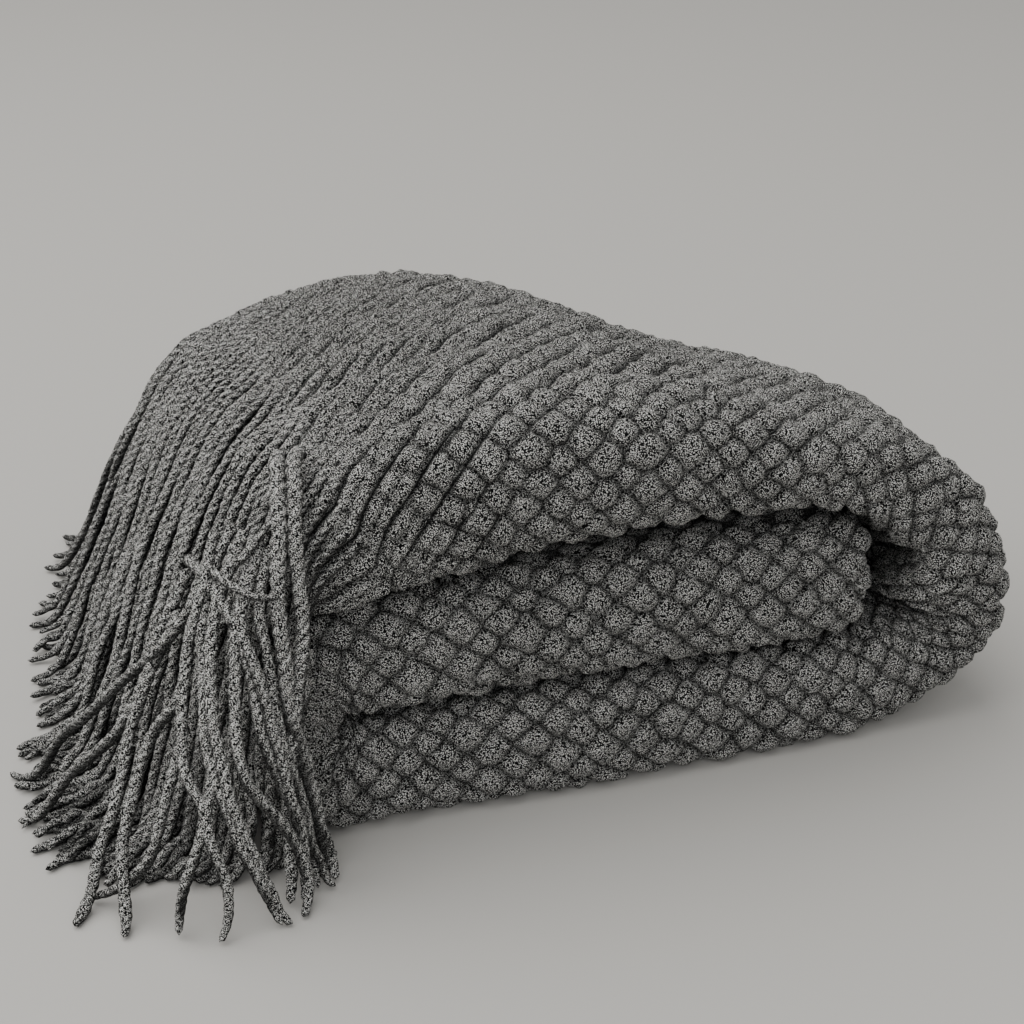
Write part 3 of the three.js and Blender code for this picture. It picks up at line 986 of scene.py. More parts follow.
@dataclass(frozen=True)
class FringeRow:
    """One layer's row of strands.

    start is where along the landings the row begins, and reach how far out it lands against the top row.
    """

    name: str
    node: str
    strands: int
    start: float
    reach: float
    seed: int


@dataclass
class Strand:
    """A strand of a row: its middle line and its thickness against the usual.

    held is how much of it lies on the cloth, and a fixed one isn't moved off the others.
    """

    row: str
    line: np.ndarray
    thick: float
    held: float
    fixed: bool = False


FRINGE_ROWS = (
    FringeRow("fringe_strands_top", "fringe_top_layer", strands=80, start=0.0, reach=1.0, seed=31),
    FringeRow("fringe_strands_second", "fringe_second_layer", strands=34, start=0.16, reach=0.93, seed=32),
    FringeRow("fringe_strands_third", "fringe_third_layer", strands=28, start=0.18, reach=0.84, seed=33),
    FringeRow("fringe_strands_bottom", "fringe_bottom_layer", strands=28, start=0.18, reach=0.72, seed=34),
)


@dataclass
class YarnFringe:
    """The fringe: soft strands of loosely twisted yarn, knotted through the cloth's edge."""

    fold: ClothFold
    face: OuterFace
    radius: float = 0.0022
    around: int = 10
    step: float = 0.0019
    plies: int = 3
    ply: float = 0.09
    flank_shade: float = 0.12
    flank_shade_faces: tuple[float, float] = (-0.25, 0.8)
    # lightness of the lower rows' strands: painted shade, as they lie in the top row's shade
    lower_rows_shade: float = 0.56
    twist: float = 0.015
    wander: float = 0.0032
    clump: float = 0.5
    clump_until: tuple[float, float] = (0.6, 0.8)
    clump_strands: tuple[int, int] = (2, 6)
    astray: float = 0.006
    between: float = 0.6
    deep_between: float = 1.7
    deep_rope: float = 0.2
    rooted: float = 1.7
    rounds: int = 10
    pushing: float = 1.6
    reach_varies: tuple[float, float] = (0.92, 1.02)
    lie_varies: tuple[float, float] = (0.6, 1.25)
    least_lie: float = 0.004
    fall_points: int = 60
    lead_drop: float = 0.1
    landing_lead: float = 0.18
    landing_rise: float = 0.006
    turn_on_floor: float = 0.25
    off_cloth: float = 0.6
    off_cloth_until: tuple[float, float] = (0.45, 1.0)
    sunk: float = 0.95
    swing_aside: float = 0.150
    swing_up: float = 0.110
    swing_up_share: float = 0.45
    free_after: float = 0.09
    thick_varies: tuple[float, float] = (0.88, 1.12)
    uneven: float = 0.10
    uneven_length: float = 0.021
    loose_wander: float = 0.0005
    loose_swing: float = 0.05
    tip: float = 0.016
    tip_varies: tuple[float, float] = (0.5, 1.5)
    tip_share: float = 0.36
    end_round: float = 0.0025
    light_top: float = 1.35
    light_loose: float = 1.38
    light_varies: tuple[float, float] = (0.75, 1.1)
    seed: int = 5
    edge_low: float = -0.014
    edge_inset: float = 0.006
    edge_until: float = 0.985
    end_inset: float = 0.0005
    lower_inset: float = 0.004
    lower_uneven: float = 0.2
    over_cloth: tuple[float, float] = (0.025, 0.055)
    over_cloth_between: tuple[float, float] = (0.002, 0.006)
    lean: float = REPEAT_ACROSS / REPEAT_ALONG

    def _rested(self, line: np.ndarray) -> np.ndarray:
        """The line lifted to where a strand lies on the floor, pressed into it a little."""
        line[:, 2] = np.maximum(line[:, 2], self.radius * self.sunk)
        return line

    @staticmethod
    def _share(line: np.ndarray, share: float) -> np.ndarray:
        """The point at a share of a line's length."""
        run = run_along(line)
        return np.array([np.interp(share * run[-1], run, line[:, k]) for k in range(line.shape[1])])

    def _inner_edge(self, node: str) -> np.ndarray:
        """The stretch of the fringed edge that a lower row hangs from.

        Args:
            node: The node of the row's solid.

        Returns:
            Its points as y and w, from front to back.
        """
        section = self.fold.section(self.fold.stations(np.array([self.fold.length])))
        line = np.stack([section.y[0], section.w[0]], -1)
        inner = line[section.fold_end:]
        turn = int(np.argmin(inner[:, 0]))
        return {
            "fringe_second_layer": inner[:turn][::-1],
            "fringe_third_layer": inner[turn:],
            "fringe_bottom_layer": line[:section.apex - self.fold.front_steps][::-1],
        }[node]

    def _even(self, line: np.ndarray, soften: int = 0) -> np.ndarray:
        """The line with its points one step apart.

        Args:
            line: The line.
            soften: How many times its bends are softened.

        Returns:
            The new line.
        """
        run = run_along(line)
        places = np.linspace(0.0, run[-1], max(8, int(run[-1] / self.step)))
        line = np.stack([np.interp(places, run, line[:, k]) for k in range(3)], -1)
        for _ in range(soften):
            line[1:-1] = 0.25 * line[:-2] + 0.5 * line[1:-1] + 0.25 * line[2:]
        return line

    def _fall(self, start: np.ndarray, ahead: np.ndarray | None, reach: float, along: float,
              rng: np.random.Generator) -> np.ndarray:
        """A strand's way from the edge: out, down in one bend, then level on the floor.

        Args:
            start: Where it leaves the edge, in the throw's own sizes.
            ahead: The way that it comes off the cloth, or None where it comes straight out.
            reach: How far out it lands against the landings.
            along: Its place along the landings.
            rng: Where its chances come from.

        Returns:
            The line's points.
        """
        marks = [landing.along for landing in LANDINGS]
        place = np.array([np.interp(along, marks, np.arange(len(LANDINGS)))])
        x, y, lead_share, lie = (
            float(curve_through(LANDINGS, name, place)[0]) for name in ("x", "y", "lead", "lie")
        )
        out = np.array([x - start[0], y - start[1]]) * reach * rng.uniform(*self.reach_varies)
        whole = float(np.linalg.norm(out))
        heading = np.array([*(out / whole), 0.0])
        lying = whole * lie * rng.uniform(*self.lie_varies)
        span = whole - lying
        land = np.array([start[0], start[1], self.radius * self.sunk]) + heading * span
        level = np.array([-1.0, 0.0, -self.lead_drop / lead_share])
        if ahead is not None:
            share = self.off_cloth * (1 - smoothstep(along, *self.off_cloth_until))
            level = level * (1 - share) + ahead * share
        lead = start + level * lead_share * span
        turn = land - heading * self.landing_lead * span + np.array([0.0, 0.0, self.landing_rise])
        t = np.linspace(0.0, 1.0, self.fall_points)[:, None]
        bend = (1 - t)**3 * start + 3 * (1 - t)**2 * t * lead + 3 * (1 - t) * t**2 * turn + t**3 * land
        angle = self.turn_on_floor * rng.uniform(-1, 1)
        onward = np.array([heading[0] * math.cos(angle) - heading[1] * math.sin(angle),
                           heading[0] * math.sin(angle) + heading[1] * math.cos(angle), 0.0])
        flat = land + onward * (lying + self.least_lie) * np.linspace(0.15, 1.0, 6)[:, None]
        return np.concatenate([bend, flat])

    def _swayed(self, line: np.ndarray, held: float, rng: np.random.Generator) -> np.ndarray:
        """The line with a soft, uneven swing from side to side.

        Args:
            line: The line.
            held: How much of it the cloth holds still.
            rng: Where its chances come from.

        Returns:
            The new line.
        """
        run = run_along(line)
        ahead = unit(np.gradient(line, axis=0))
        side = unit(np.cross(ahead, np.array([0.0, 0.0, 1.0])) + 1e-9)
        up = np.cross(side, ahead)
        free = smoothstep(run, held, held + self.free_after)
        aside = self._sway(run, self.swing_aside, rng) * self.wander * free
        off = self._sway(run, self.swing_up, rng) * self.wander * self.swing_up_share * free
        return self._rested(line + side * aside[:, None] + up * off[:, None])

    @staticmethod
    def _sway(run: np.ndarray, length: float, rng: np.random.Generator) -> np.ndarray:
        """A smooth random swing.

        Args:
            run: How far along the strand each place is.
            length: About how long its waves are.
            rng: Where its chances come from.

        Returns:
            The swing at each place, from about -1 to 1.
        """
        total = np.zeros_like(run)
        for part in (1.0, 0.55, 0.31):
            phase = rng.uniform(0, 2 * math.pi)
            total += part * math.sqrt(part) * np.sin(2 * math.pi * run / (length * part) + phase)
        return total / 1.6

    def _tube(self, line: np.ndarray, thick: float, light: float, rng: np.random.Generator) -> np.ndarray:
        """The rings of points round one strand, drawn in at both ends, with painted shade on its underside
        and flanks.

        Args:
            line: The strand's middle line.
            thick: Its thickness against the usual.
            light: How light its yarn is against the lightest; darker for the lower rows, as painted shade.
            rng: Where its chances come from.

        Returns:
            The point and the lightness, darker on the underside and flanks as painted shade, for each step
            along and each place around.
        """
        ahead = unit(np.gradient(line, axis=0))
        side = np.empty_like(line)
        last = np.cross(ahead[0], np.array([0.31, 0.17, 0.93]))
        for row, way in enumerate(ahead):
            last = last - way * (last @ way)
            last /= np.linalg.norm(last)
            side[row] = last
        up = np.cross(ahead, side)
        run = run_along(line)
        to_tip = run[-1] - run
        size = self.radius * thick * (1 + self.uneven * self._sway(run, self.uneven_length, rng))
        tip = self.tip * rng.uniform(*self.tip_varies)
        size = size * (1 - self.tip_share * (1 - smoothstep(to_tip, 0.0, tip)))
        size = size * np.sqrt(1 - (1 - np.clip(np.minimum(to_tip, run) / self.end_round, 0.0, 1.0)) ** 2)
        angle = np.linspace(0.0, 2 * math.pi, self.around + 1)[None, :]
        turned = self.plies * (angle - 2 * math.pi * run[:, None] / self.twist)
        ring = size[:, None] * (1 + self.ply * np.cos(turned))
        way = np.cos(angle)[..., None] * side[:, None] + np.sin(angle)[..., None] * up[:, None]
        # Painted shade: each point's lightness falls from the strand's top to its underside and flanks, as if
        # lit from above.
        level = unit(np.cross(ahead, np.array([0.0, 0.0, 1.0])) + 1e-9)
        outward = (way * np.cross(level, ahead)[:, None]).sum(-1)
        shade = light * (self.flank_shade + (1 - self.flank_shade) * smoothstep(outward, *self.flank_shade_faces))
        return np.concatenate([line[:, None] + ring[..., None] * way, shade[..., None]], -1)

    def _piece(self, name: str, tubes: list[np.ndarray]) -> bpy.types.Object:
        """One joined piece of strands, each a closed tube.

        Args:
            name: The piece's name.
            tubes: Each strand's rings of points.

        Returns:
            The piece.
        """
        points = np.concatenate(tubes)
        owner = np.repeat(np.arange(len(tubes)), [len(tube) for tube in tubes])
        run = np.concatenate([np.arange(len(tube)) * self.step for tube in tubes])

        def place(column: np.ndarray, row: np.ndarray) -> dict[str, np.ndarray]:
            """The place and the other values at each point of the grid.

            Args:
                column: The point's column.
                row: Its row.

            Returns:
                The place, the lightness with its painted shade, the strand and how far along it the point is.
            """
            i, j = np.rint(row).astype(int), np.rint(column).astype(int)
            # crown carries each point's lightness with its painted shade
            return {"co": points[i, j, :3], "crown": points[i, j, 3], "strand": owner[i].astype(float),
                    "run": run[i]}

        def close(bm: bmesh.types.BMesh) -> None:
            """Parts the strands, and closes each along its length and at its ends.

            Args:
                bm: The placed mesh.
            """
            layer = bm.verts.layers.float["strand"]
            between = [face for face in bm.faces if len({round(vert[layer]) for vert in face.verts}) > 1]
            bmesh.ops.delete(bm, geom=between, context="FACES")
            bmesh.ops.remove_doubles(bm, verts=bm.verts[:], dist=1e-6)
            bmesh.ops.recalc_face_normals(bm, faces=bm.faces[:])

        return grid_mesh(name, self.around, len(points) - 1, close, place)

    def _loose(self, strand: LooseStrand, rng: np.random.Generator) -> np.ndarray:
        """The middle line of a listed strand.

        Args:
            strand: The strand's points.
            rng: Where its chances come from.

        Returns:
            The line.
        """
        points = np.array(strand.points) * 0.001
        line = smooth_through(points, np.linspace(0.0, len(points) - 1.0, 12 * len(points)))
        line = self._even(line, soften=4)
        swing = self._sway(np.arange(len(line)) * self.step, self.loose_swing, rng)
        return self._rested(line + self.loose_wander * swing[:, None])

    def _strands(self, row: FringeRow) -> list[Strand]:
        """One layer's strands, in loose clumps, as they fall before they settle on each other.

        Args:
            row: The row's sizes.

        Returns:
            The strands.
        """
        rng = np.random.default_rng(row.seed)
        top = row.node == "fringe_top_layer"
        end = self.fold.length - self.end_inset
        edge_high = float(self.face.back_at(np.array([end]))[0]) - self.edge_inset
        edge = None if top else self._inner_edge(row.node)
        at = self.fold.stations(np.array([self.fold.length]))
        starts = self._starts(row, rng, end, edge_high)
        strands = []
        centre = 0.0
        left = 0
        for index, (along, back_to, deep) in enumerate(starts):
            if left == 0:
                left = int(rng.integers(*self.clump_strands))
                centre = starts[min(index + left // 2, len(starts) - 1)][0]
            left -= 1
            clump = self.clump * (1 - smoothstep(along, *self.clump_until))
            drawn = along + clump * (centre - along) + rng.uniform(-self.astray, self.astray)
            landing = row.start + (1 - row.start) * min(max(drawn, 0.0), 1.0)
            if top:
                v = self.edge_low + along * (edge_high - self.edge_low)
                back = np.linspace(back_to, 0.0, 16)
                rise = (self.rooted - deep) * smoothstep(back_to - back, 0.0, back_to) - self.rooted
                lying = self.face.point(end - back, v + self.lean * back, self.radius * rise) + ORIGIN
                ahead = unit(lying[-1] - lying[-3])
                line = np.concatenate([lying[:-1], self._fall(lying[-1], ahead, row.reach, landing, rng)])
                line = self._even(line, soften=14)
            else:
                y, w = self._share(edge, along)
                start = self.fold.placed(at, np.array([y]), np.array([w]), -self.lower_inset)[0] + ORIGIN
                line = self._even(self._fall(start, None, row.reach, landing, rng), soften=3)
            line = self._swayed(line, back_to, rng)
            strands.append(Strand(row.name, line, rng.uniform(*self.thick_varies), back_to))
        if top:
            for loose in LOOSE_STRANDS:
                strands.append(Strand(row.name, self._loose(loose, rng), loose.thick, 0.0, fixed=True))
        return strands

    def _starts(self, row: FringeRow, rng: np.random.Generator, end: float,
                edge_high: float) -> list[tuple[float, float, float]]:
        """Where a layer's strands leave the cloth: the top one's on each rope of the knit, with more between.

        Args:
            row: The row's sizes.
            rng: Where its chances come from.
            end: The edge's place along the cloth.
            edge_high: Where the edge ends at the back.

        Returns:
            Each strand's share along the edge, how far back over the cloth it begins, and how deep it leaves.
        """
        if row.node != "fringe_top_layer":
            uneven = self.lower_uneven
            places = [index + 0.5 + rng.uniform(-uneven, uneven) for index in range(row.strands)]
            return [(place / row.strands, self.lower_inset, 0.0) for place in places]
        first = BobbleKnit.lattice(np.array(end), np.array(self.edge_low))[0]
        starts = []
        for index in range(row.strands):
            count = math.ceil(4 * first) / 4 + index / 4
            v = self.edge_low + REPEAT_ACROSS * float(count - first)
            along = (v - self.edge_low) / (edge_high - self.edge_low)
            if along > self.edge_until:
                break
            if round(4 * count) % 2:
                starts.append((along, rng.uniform(*self.over_cloth), self.deep_rope))
            elif rng.random() < self.between:
                starts.append((along, rng.uniform(*self.over_cloth_between), self.deep_between))
        return starts

    def _settle(self, strands: list[Strand]) -> None:
        """Moves strands off each other where they would share their room.

        Args:
            strands: All rows' strands.
        """
        owner = np.repeat(np.arange(len(strands)), [len(strand.line) for strand in strands])
        room = 2 * self.radius
        for _ in range(self.rounds):
            tree = KDTree(len(owner))
            for index, point in enumerate(np.concatenate([strand.line for strand in strands])):
                tree.insert(point, index)
            tree.balance()
            for number, strand in enumerate(strands):
                if strand.fixed:
                    continue
                push = np.zeros_like(strand.line)
                for index in range(0, len(strand.line), 2):
                    here = strand.line[index]
                    for there, other, gap in tree.find_range(here, room):
                        if owner[other] != number and gap > 1e-7:
                            share = 0.5 if strands[owner[other]].fixed else 0.25
                            push[index] += (here - np.array(there)) / gap * (room - gap) * share
                for _ in range(3):
                    push[1:-1] = 0.25 * push[:-2] + 0.5 * push[1:-1] + 0.25 * push[2:]
                run = np.arange(len(push)) * self.step
                free = smoothstep(run, strand.held * 0.5, strand.held + 0.02)
                strand.line = self._rested(strand.line + self.pushing * push * free[:, None])

    def rows(self) -> list[bpy.types.Object]:
        """Every layer's strands, settled on each other.

        Returns:
            One piece for each row.
        """
        strands = [strand for row in FRINGE_ROWS for strand in self._strands(row)]
        self._settle(strands)
        rng = np.random.default_rng(self.seed)
        pieces = []
        for row in FRINGE_ROWS:
            own = [strand for strand in strands if strand.row == row.name]
            # The lower rows are painted darker than the top row, as painted shade; each strand's lightness
            # also differs at random.
            usual = self.light_top if row.node == "fringe_top_layer" else self.lower_rows_shade
            varies = self.light_varies
            lights = [self.light_loose if one.fixed else usual * rng.uniform(*varies) for one in own]
            tubes = [self._tube(one.line - ORIGIN, one.thick, light, rng) for one, light in zip(own, lights)]
            pieces.append(self._piece(row.name, tubes))
        return pieces


# Finishes


class Wire:
    """A shader socket that takes part in Python sums."""

    def __init__(self, tree: bpy.types.NodeTree, socket: bpy.types.NodeSocket) -> None:
        """Keeps the socket and the tree that its sums go into."""
        self.tree = tree
        self.socket = socket

    def _sum(self, operation: str, first: "Wire | float", second: "Wire | float") -> "Wire":
        """A Math node on two values.

        Args:
            operation: What it does.
            first: Its first value.
            second: Its second value.

        Returns:
            Its result.
        """
        node = self.tree.nodes.new("ShaderNodeMath")
        node.operation = operation
        for slot, value in zip(node.inputs, (first, second)):
            if isinstance(value, Wire):
                self.tree.links.new(value.socket, slot)
            else:
                slot.default_value = value
        return Wire(self.tree, node.outputs[0])

    def __add__(self, other: "Wire | float") -> "Wire":
        """self + other."""
        return self._sum("ADD", self, other)

    __radd__ = __add__

    def __mul__(self, other: "Wire | float") -> "Wire":
        """self * other."""
        return self._sum("MULTIPLY", self, other)

    __rmul__ = __mul__

    def __sub__(self, other: "Wire | float") -> "Wire":
        """self - other."""
        return self._sum("SUBTRACT", self, other)

    def __rsub__(self, other: float) -> "Wire":
        """other - self."""
        return self._sum("SUBTRACT", other, self)

    def __pow__(self, other: float) -> "Wire":
        """self to the power of other."""
        return self._sum("POWER", self, other)

    def __abs__(self) -> "Wire":
        """self without its sign."""
        return self._sum("ABSOLUTE", self, 0.0)

    def part(self) -> "Wire":
        """What is left over a whole number."""
        return self._sum("FRACT", self, 0.0)

    def least(self, other: float) -> "Wire":
        """The smaller of the two."""
        return self._sum("MINIMUM", self, other)

    def most(self, other: float) -> "Wire":
        """The larger of the two."""
        return self._sum("MAXIMUM", self, other)


@dataclass
class Shader:
    """A material being built from nodes."""

    name: str

    def __post_init__(self) -> None:
        """Starts an empty material."""
        self.material = bpy.data.materials.new(self.name)
        self.material.use_nodes = True
        self.tree = self.material.node_tree
        self.tree.nodes.clear()

    def node(self, kind: str, settings: dict | None = None, **inputs: object) -> bpy.types.Node:
        """Adds a node.

        Args:
            kind: Its type.
            settings: Its properties, set first.
            inputs: Values or wires for its sockets, by name with underscores for spaces.

        Returns:
            The node.
        """
        node = self.tree.nodes.new(kind)
        for key, value in (settings or {}).items():
            setattr(node, key, value)
        for key, value in inputs.items():
            slot = node.inputs[key.replace("_", " ")]
            if isinstance(value, Wire):
                self.tree.links.new(value.socket, slot)
            else:
                slot.default_value = value
        return node

    def wire(self, node: bpy.types.Node, output: str | int = 0) -> Wire:
        """One of a node's outputs."""
        return Wire(self.tree, node.outputs[output])

    def blend(self, share: Wire | float, low: tuple | Wire, high: tuple | Wire) -> Wire:
        """A colour between two others.

        Args:
            share: How much of the second it has.
            low: The first colour.
            high: The second colour.

        Returns:
            The colour.
        """
        node = self.node("ShaderNodeMix", {"data_type": "RGBA"})
        for index, value in ((0, share), (6, low), (7, high)):
            if isinstance(value, Wire):
                self.tree.links.new(value.socket, node.inputs[index])
            else:
                node.inputs[index].default_value = value
        return self.wire(node, 2)


PAST_ZERO = 100.0  # whole repeats added before a fraction is taken, so that it counts up from 0


class Drawn(Enum):
    """What a finish draws on a surface besides its yarn, as bumps and as painted shade in the grooves."""

    NOTHING = "nothing"
    BOBBLES = "bobbles"
    TWIST = "twist"


@dataclass(frozen=True)
class YarnFinish:
    """Soft, heathered yarn, with painted shade darkening its colour in grooves and on shaded sides. Colours
    are scene-linear.
    """

    name: str
    dark: tuple[float, float, float, float] = (0.003, 0.0031, 0.0032, 1.0)
    light: tuple[float, float, float, float] = (0.84, 0.84, 0.815, 1.0)
    drawn: Drawn = Drawn.NOTHING
    grain_scale: float = 1950.0
    contrast: float = 8.5
    level: float = 0.392
    # deep: the lightness left at the bottom of a groove, the darkest of the painted shade
    deep: float = 0.12
    roughness: float = 0.92
    sheen: float = 0.03
    shine: float = 0.06
    fuzz: float = 0.0009
    fleck_height: float = 0.8
    blotch_scale: float = 34.0
    blotch: float = 0.4
    loop: float = 1.8
    loop_size: float = 0.9
    loop_height: float = 0.5
    groove_shade_from: float = 0.10
    groove_shade_gain: float = 1.7
    bobble_height: float = 3.4
    bobble_square: float = 2.5
    bobble_round: float = 0.6
    ply_groove_shade: tuple[float, float] = (0.34, 0.86)
    ply_height: float = 1.8

    def make(self) -> bpy.types.Material:
        """Builds the material.

        Returns:
            The material.
        """
        shader = Shader(self.name)
        coords = shader.wire(shader.node("ShaderNodeTexCoord"), "Object")
        cells = shader.node("ShaderNodeTexVoronoi", Vector=coords, Scale=self.grain_scale)
        grain = shader.wire(cells, "Distance")
        loops = shader.wire(shader.node("ShaderNodeTexNoise", Vector=coords,
                                        Scale=self.grain_scale * self.loop_size, Detail=0.0,
                                        Distortion=0.5), "Fac")
        blotch = shader.wire(shader.node("ShaderNodeTexNoise", Vector=coords, Scale=self.blotch_scale,
                                         Detail=1.0), "Fac")
        raised, form = self._form(shader)
        height = self.loop_height * loops - self.fleck_height * grain + form
        flecks = ((self.level - grain) * self.contrast + (loops - 0.5) * self.loop + 0.5).most(0.0).least(1.0)
        # Painted shade: the tone falls to deep where raised is low, in grooves and on shaded sides; flecks
        # and blotches are the yarn's own.
        tone = flecks * (self.deep + (1 - self.deep) * raised + self.blotch * (blotch - 0.5))
        base = shader.blend(tone.most(0.0).least(1.0), self.dark, self.light)
        bump = shader.node("ShaderNodeBump", Strength=1.0, Distance=self.fuzz, Height=height)
        skin = shader.node("ShaderNodeBsdfPrincipled", Base_Color=base, Roughness=self.roughness,
                           Normal=shader.wire(bump), Sheen_Weight=self.sheen, Sheen_Roughness=0.5,
                           Specular_IOR_Level=self.shine)
        out = shader.node("ShaderNodeOutputMaterial")
        shader.tree.links.new(skin.outputs[0], out.inputs[0])
        return shader.material

    def _form(self, shader: Shader) -> tuple[Wire, Wire | float]:
        """How light each place is painted, darker towards the grooves as painted shade, and what the finish
        draws there.

        Args:
            shader: The material being built.

        Returns:
            The painted lightness, from shaded groove (0) to lit crown (1), and the height for the bump.
        """
        crown = shader.wire(shader.node("ShaderNodeAttribute", {"attribute_name": "crown"}), "Fac")
        if self.drawn is Drawn.BOBBLES:
            bobbles = self._bobbles(shader)
            return bobbles, self.bobble_height * bobbles
        if self.drawn is Drawn.TWIST:
            twist = self._twist(shader)
            # Painted shade between the plies: darker where two plies meet, lighter at each ply's middle.
            low, rise = self.ply_groove_shade
            return crown * (low + rise * twist), self.ply_height * twist
        # Painted shade: the knit's colour darkens towards the grooves between bobbles, read from the crown.
        return ((crown - self.groove_shade_from) * self.groove_shade_gain).most(0.0).least(1.0), 0.0

    def _bobbles(self, shader: Shader) -> Wire:
        """The bobbles, drawn from the cloth's own flat sizes, for where they aren't modelled, their grooves
        painted darker as shade.

        Args:
            shader: The material being built.

        Returns:
            The share from groove (0) to crown (1).
        """
        u = shader.wire(shader.node("ShaderNodeAttribute", {"attribute_name": "along"}), "Fac")
        v = shader.wire(shader.node("ShaderNodeAttribute", {"attribute_name": "across"}), "Fac")
        a, b = u * (1 / REPEAT_ALONG), v * (1 / REPEAT_ACROSS)
        s, t = (a + b + PAST_ZERO).part(), (a - b + PAST_ZERO).part()
        reach = abs(s * 2.0 - 1.0) ** self.bobble_square + abs(t * 2.0 - 1.0) ** self.bobble_square
        return (1.0 - reach).most(0.0) ** self.bobble_round

    @staticmethod
    def _twist(shader: Shader) -> Wire:
        """The plies of a strand, drawn round it from its grid.

        Args:
            shader: The material being built.

        Returns:
            The share from between two plies (0) to the middle of one (1).
        """
        grid = shader.wire(shader.node("ShaderNodeUVMap", {"uv_map": "grid"}), "UV")
        around = shader.wire(shader.node("ShaderNodeSeparateXYZ", Vector=grid), "X")
        run = shader.wire(shader.node("ShaderNodeAttribute", {"attribute_name": "run"}), "Fac")
        plies = YarnFringe.plies
        turns = around * plies - run * (plies / YarnFringe.twist)
        return abs((turns + PAST_ZERO).part() * 2.0 - 1.0)


# The set


@dataclass(frozen=True)
class SoftLight:
    """A round light: where it stands, its width in metres, its power in watts and its colour."""

    name: str
    place: tuple[float, float, float]
    size: float
    power: float
    colour: tuple[float, float, float]


@dataclass
class Studio:
    """A pale floor, soft light and the camera."""

    turned: float = math.radians(18.0)
    pitch: float = math.radians(25.2)
    distance: float = 0.840
    aside: float = 0.08064
    above: float = 0.12978
    lens_px: float = 2000.0
    frame_px: float = 1024.0
    sensor_mm: float = 36.0
    clip_start: float = 0.01
    key: SoftLight = SoftLight("key", (-1.0, 0.25, 2.05), 3.4, 66.0, (1.0, 0.985, 0.96))
    fill: SoftLight = SoftLight("fill", (-0.5, -1.8, 1.1), 1.8, 13.0, (0.98, 0.99, 1.0))
    lit: tuple[float, float, float] = (0.0, 0.0, 0.08)
    surround: tuple[float, float, float, float] = (0.82, 0.81, 0.79, 1.0)
    surround_strength: float = 0.80
    floor_colour: tuple[float, float, float, float] = (0.43, 0.422, 0.404, 1.0)
    floor_roughness: float = 0.9
    floor_size: float = 8.0

    def camera(self) -> bpy.types.Object:
        """Sets the camera at the photograph's angle.

        Returns:
            The camera.
        """
        right = Vector((math.cos(self.turned), -math.sin(self.turned), 0.0))
        level = Vector((math.sin(self.turned), math.cos(self.turned), 0.0))
        look = level * math.cos(self.pitch) - Vector((0.0, 0.0, math.sin(self.pitch)))
        up = level * math.sin(self.pitch) + Vector((0.0, 0.0, math.cos(self.pitch)))
        place = right * self.aside + up * self.above - look * self.distance - Vector(ORIGIN)
        data = bpy.data.cameras.new("camera")
        data.sensor_width = self.sensor_mm
        data.lens = self.lens_px / self.frame_px * self.sensor_mm
        data.clip_start = self.clip_start
        camera = bpy.data.objects.new("camera", data)
        camera.matrix_world = Matrix((right, up, -look)).transposed().to_4x4()
        camera.location = place
        bpy.context.scene.collection.objects.link(camera)
        bpy.context.scene.camera = camera
        return camera

    def _light(self, soft: SoftLight) -> None:
        """Adds one light, turned to the throw.

        Args:
            soft: The light's sizes.
        """
        data = bpy.data.lights.new(soft.name, "AREA")
        data.shape = "DISK"
        data.size = soft.size
        data.energy = soft.power
        data.color = soft.colour
        light = bpy.data.objects.new(soft.name, data)
        light.location = soft.place
        light.rotation_euler = (Vector(self.lit) - Vector(soft.place)).to_track_quat("-Z", "Y").to_euler()
        bpy.context.scene.collection.objects.link(light)

    def lights(self) -> None:
        """Adds a high soft light from behind the left, a weak one in front and an even surround."""
        self._light(self.key)
        self._light(self.fill)
        world = bpy.data.worlds.new("surround")
        world.use_nodes = True
        around = world.node_tree.nodes["Background"]
        around.inputs["Color"].default_value = self.surround
        around.inputs["Strength"].default_value = self.surround_strength
        bpy.context.scene.world = world

    def floor(self) -> bpy.types.Object:
        """Lays a plain pale floor.

        Returns:
            The floor.
        """
        bm = bmesh.new()
        bmesh.ops.create_grid(bm, x_segments=1, y_segments=1, size=self.floor_size)
        mesh = bpy.data.meshes.new("floor")
        bm.to_mesh(mesh)
        bm.free()
        floor = bpy.data.objects.new("floor", mesh)
        bpy.context.scene.collection.objects.link(floor)
        shader = Shader("pale_floor")
        skin = shader.node("ShaderNodeBsdfPrincipled", Base_Color=self.floor_colour,
                           Roughness=self.floor_roughness)
        out = shader.node("ShaderNodeOutputMaterial")
        shader.tree.links.new(skin.outputs[0], out.inputs[0])
        mesh.materials.append(shader.material)
        return floor


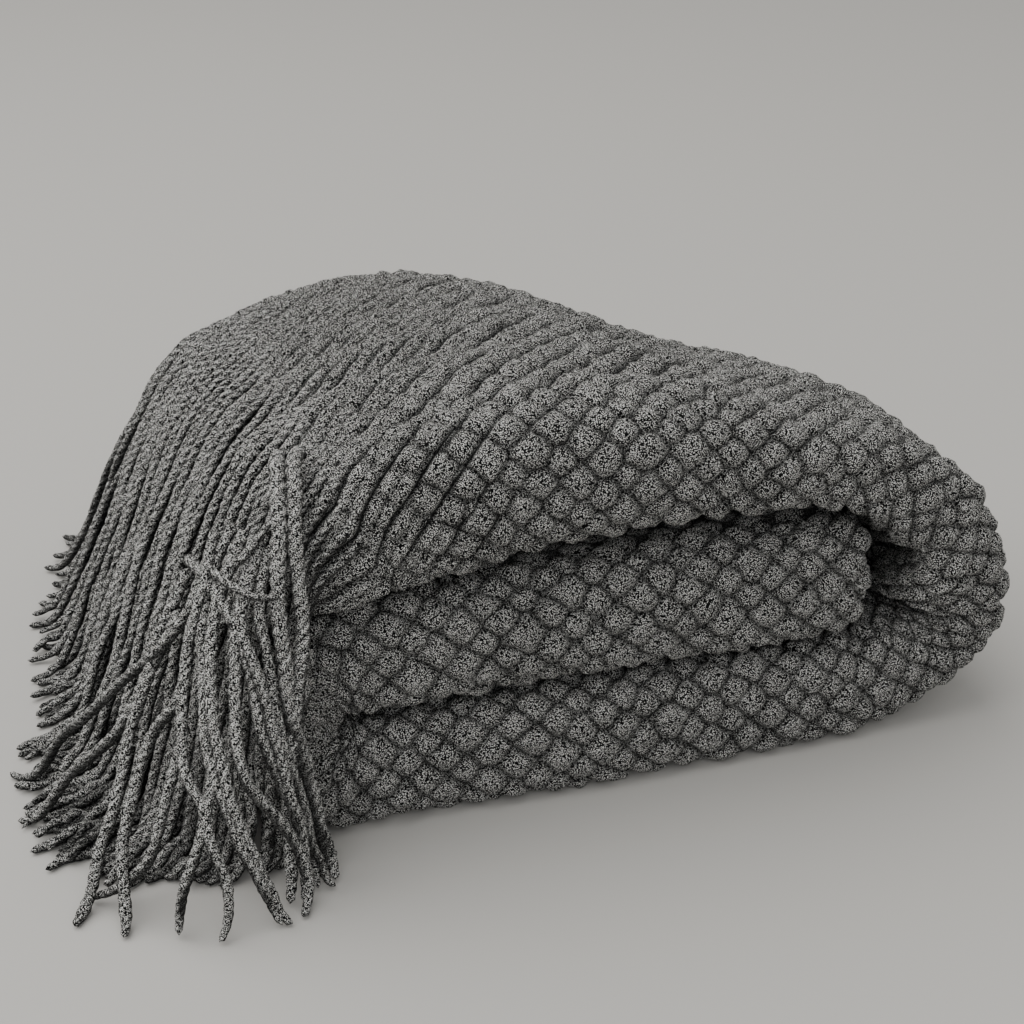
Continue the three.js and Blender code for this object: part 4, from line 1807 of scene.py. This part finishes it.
CREASES = (
    Crease(u0=1.030, v0=0.149, u1=1.110, v1=0.137, width=0.0065, depth=0.0020),
    Crease(u0=0.980, v0=0.122, u1=1.120, v1=0.103, width=0.0075, depth=0.0028),
    Crease(u0=1.050, v0=0.086, u1=1.115, v1=0.058, width=0.0065, depth=0.0022),
    Crease(u0=1.005, v0=0.070, u1=1.065, v1=0.056, width=0.0080, depth=0.0026),
    Crease(u0=0.915, v0=0.078, u1=0.980, v1=0.062, width=0.0080, depth=0.0022),
    Crease(u0=0.980, v0=0.094, u1=1.110, v1=0.084, width=0.0090, depth=-0.0022),
    Crease(u0=0.985, v0=0.132, u1=1.110, v1=0.122, width=0.0080, depth=-0.0022),
    Crease(u0=0.875, v0=0.046, u1=1.005, v1=0.058, width=0.0130, depth=-0.0026),
    Crease(u0=0.925, v0=0.160, u1=1.055, v1=0.185, width=0.0120, depth=0.0022),
    Crease(u0=0.835, v0=0.110, u1=0.975, v1=0.130, width=0.0140, depth=0.0024),
    Crease(u0=0.840, v0=0.190, u1=0.955, v1=0.215, width=0.0120, depth=0.0022),
    Crease(u0=1.015, v0=0.232, u1=1.095, v1=0.215, width=0.0090, depth=0.0026),
    Crease(u0=0.735, v0=-0.078, u1=0.792, v1=-0.008, width=0.0058, depth=0.0068),
    Crease(u0=0.662, v0=-0.072, u1=0.712, v1=-0.012, width=0.0060, depth=0.0055),
    Crease(u0=0.694, v0=-0.074, u1=0.756, v1=-0.016, width=0.0170, depth=-0.0120),
)

# Each knit face: its name, then where it begins and ends along the cloth and across it
FRONT_ACROSS = (-0.09, 0.215)
KNIT_FACES = (
    ("knit_middle_band", (-0.02, 0.30), FRONT_ACROSS),
    ("knit_round_end", (0.30, 0.80), FRONT_ACROSS),
    ("knit_top", (0.80, 1.13), FRONT_ACROSS),
    ("knit_back", (-0.02, 1.13), (0.215, 0.34)),
)

KNIT_FINISH = YarnFinish("knit_yarn")
SHEET_FINISH = YarnFinish("knit_yarn_inside", drawn=Drawn.BOBBLES)
FRINGE_FINISH = YarnFinish("fringe_yarn", drawn=Drawn.TWIST, level=0.445, deep=0.02)


def report(piece: bpy.types.Object) -> None:
    """Logs a piece's size in triangles."""
    count = sum(len(polygon.vertices) - 2 for polygon in piece.data.polygons)
    log.info("%s: %d triangles", piece.name, count)


def dress(piece: bpy.types.Object, finish: bpy.types.Material) -> None:
    """Gives a piece its finish and the body that it rides on, and logs it.

    Args:
        piece: The piece.
        finish: Its material.
    """
    piece.data.materials.append(finish)
    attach(piece, "root")
    report(piece)


def main() -> None:
    """Builds the throw, its fringe and the set."""
    logging.basicConfig(level=logging.INFO, format="%(message)s")
    studio = Studio()
    studio.camera()
    studio.lights()
    floor = studio.floor()

    fold = ClothFold()
    face = OuterFace(fold, CREASES)
    throw = FoldedThrow(fold, face, BobbleKnit())
    log.info("length along the outside of the roll: %.3f m", fold.length)
    sheet = throw.sheet()
    dress(sheet, SHEET_FINISH.make())
    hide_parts("throw_cloth")
    knit = KNIT_FINISH.make()
    faces = [throw.knit_face(*stretch) for stretch in KNIT_FACES]
    for piece in faces:
        dress(piece, knit)

    fringe = YarnFringe(fold, face)
    yarn = FRINGE_FINISH.make()
    rows = fringe.rows()
    for row, piece in zip(FRINGE_ROWS, rows):
        dress(piece, yarn)
        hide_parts(row.node)


if __name__ == "__main__":
    main()
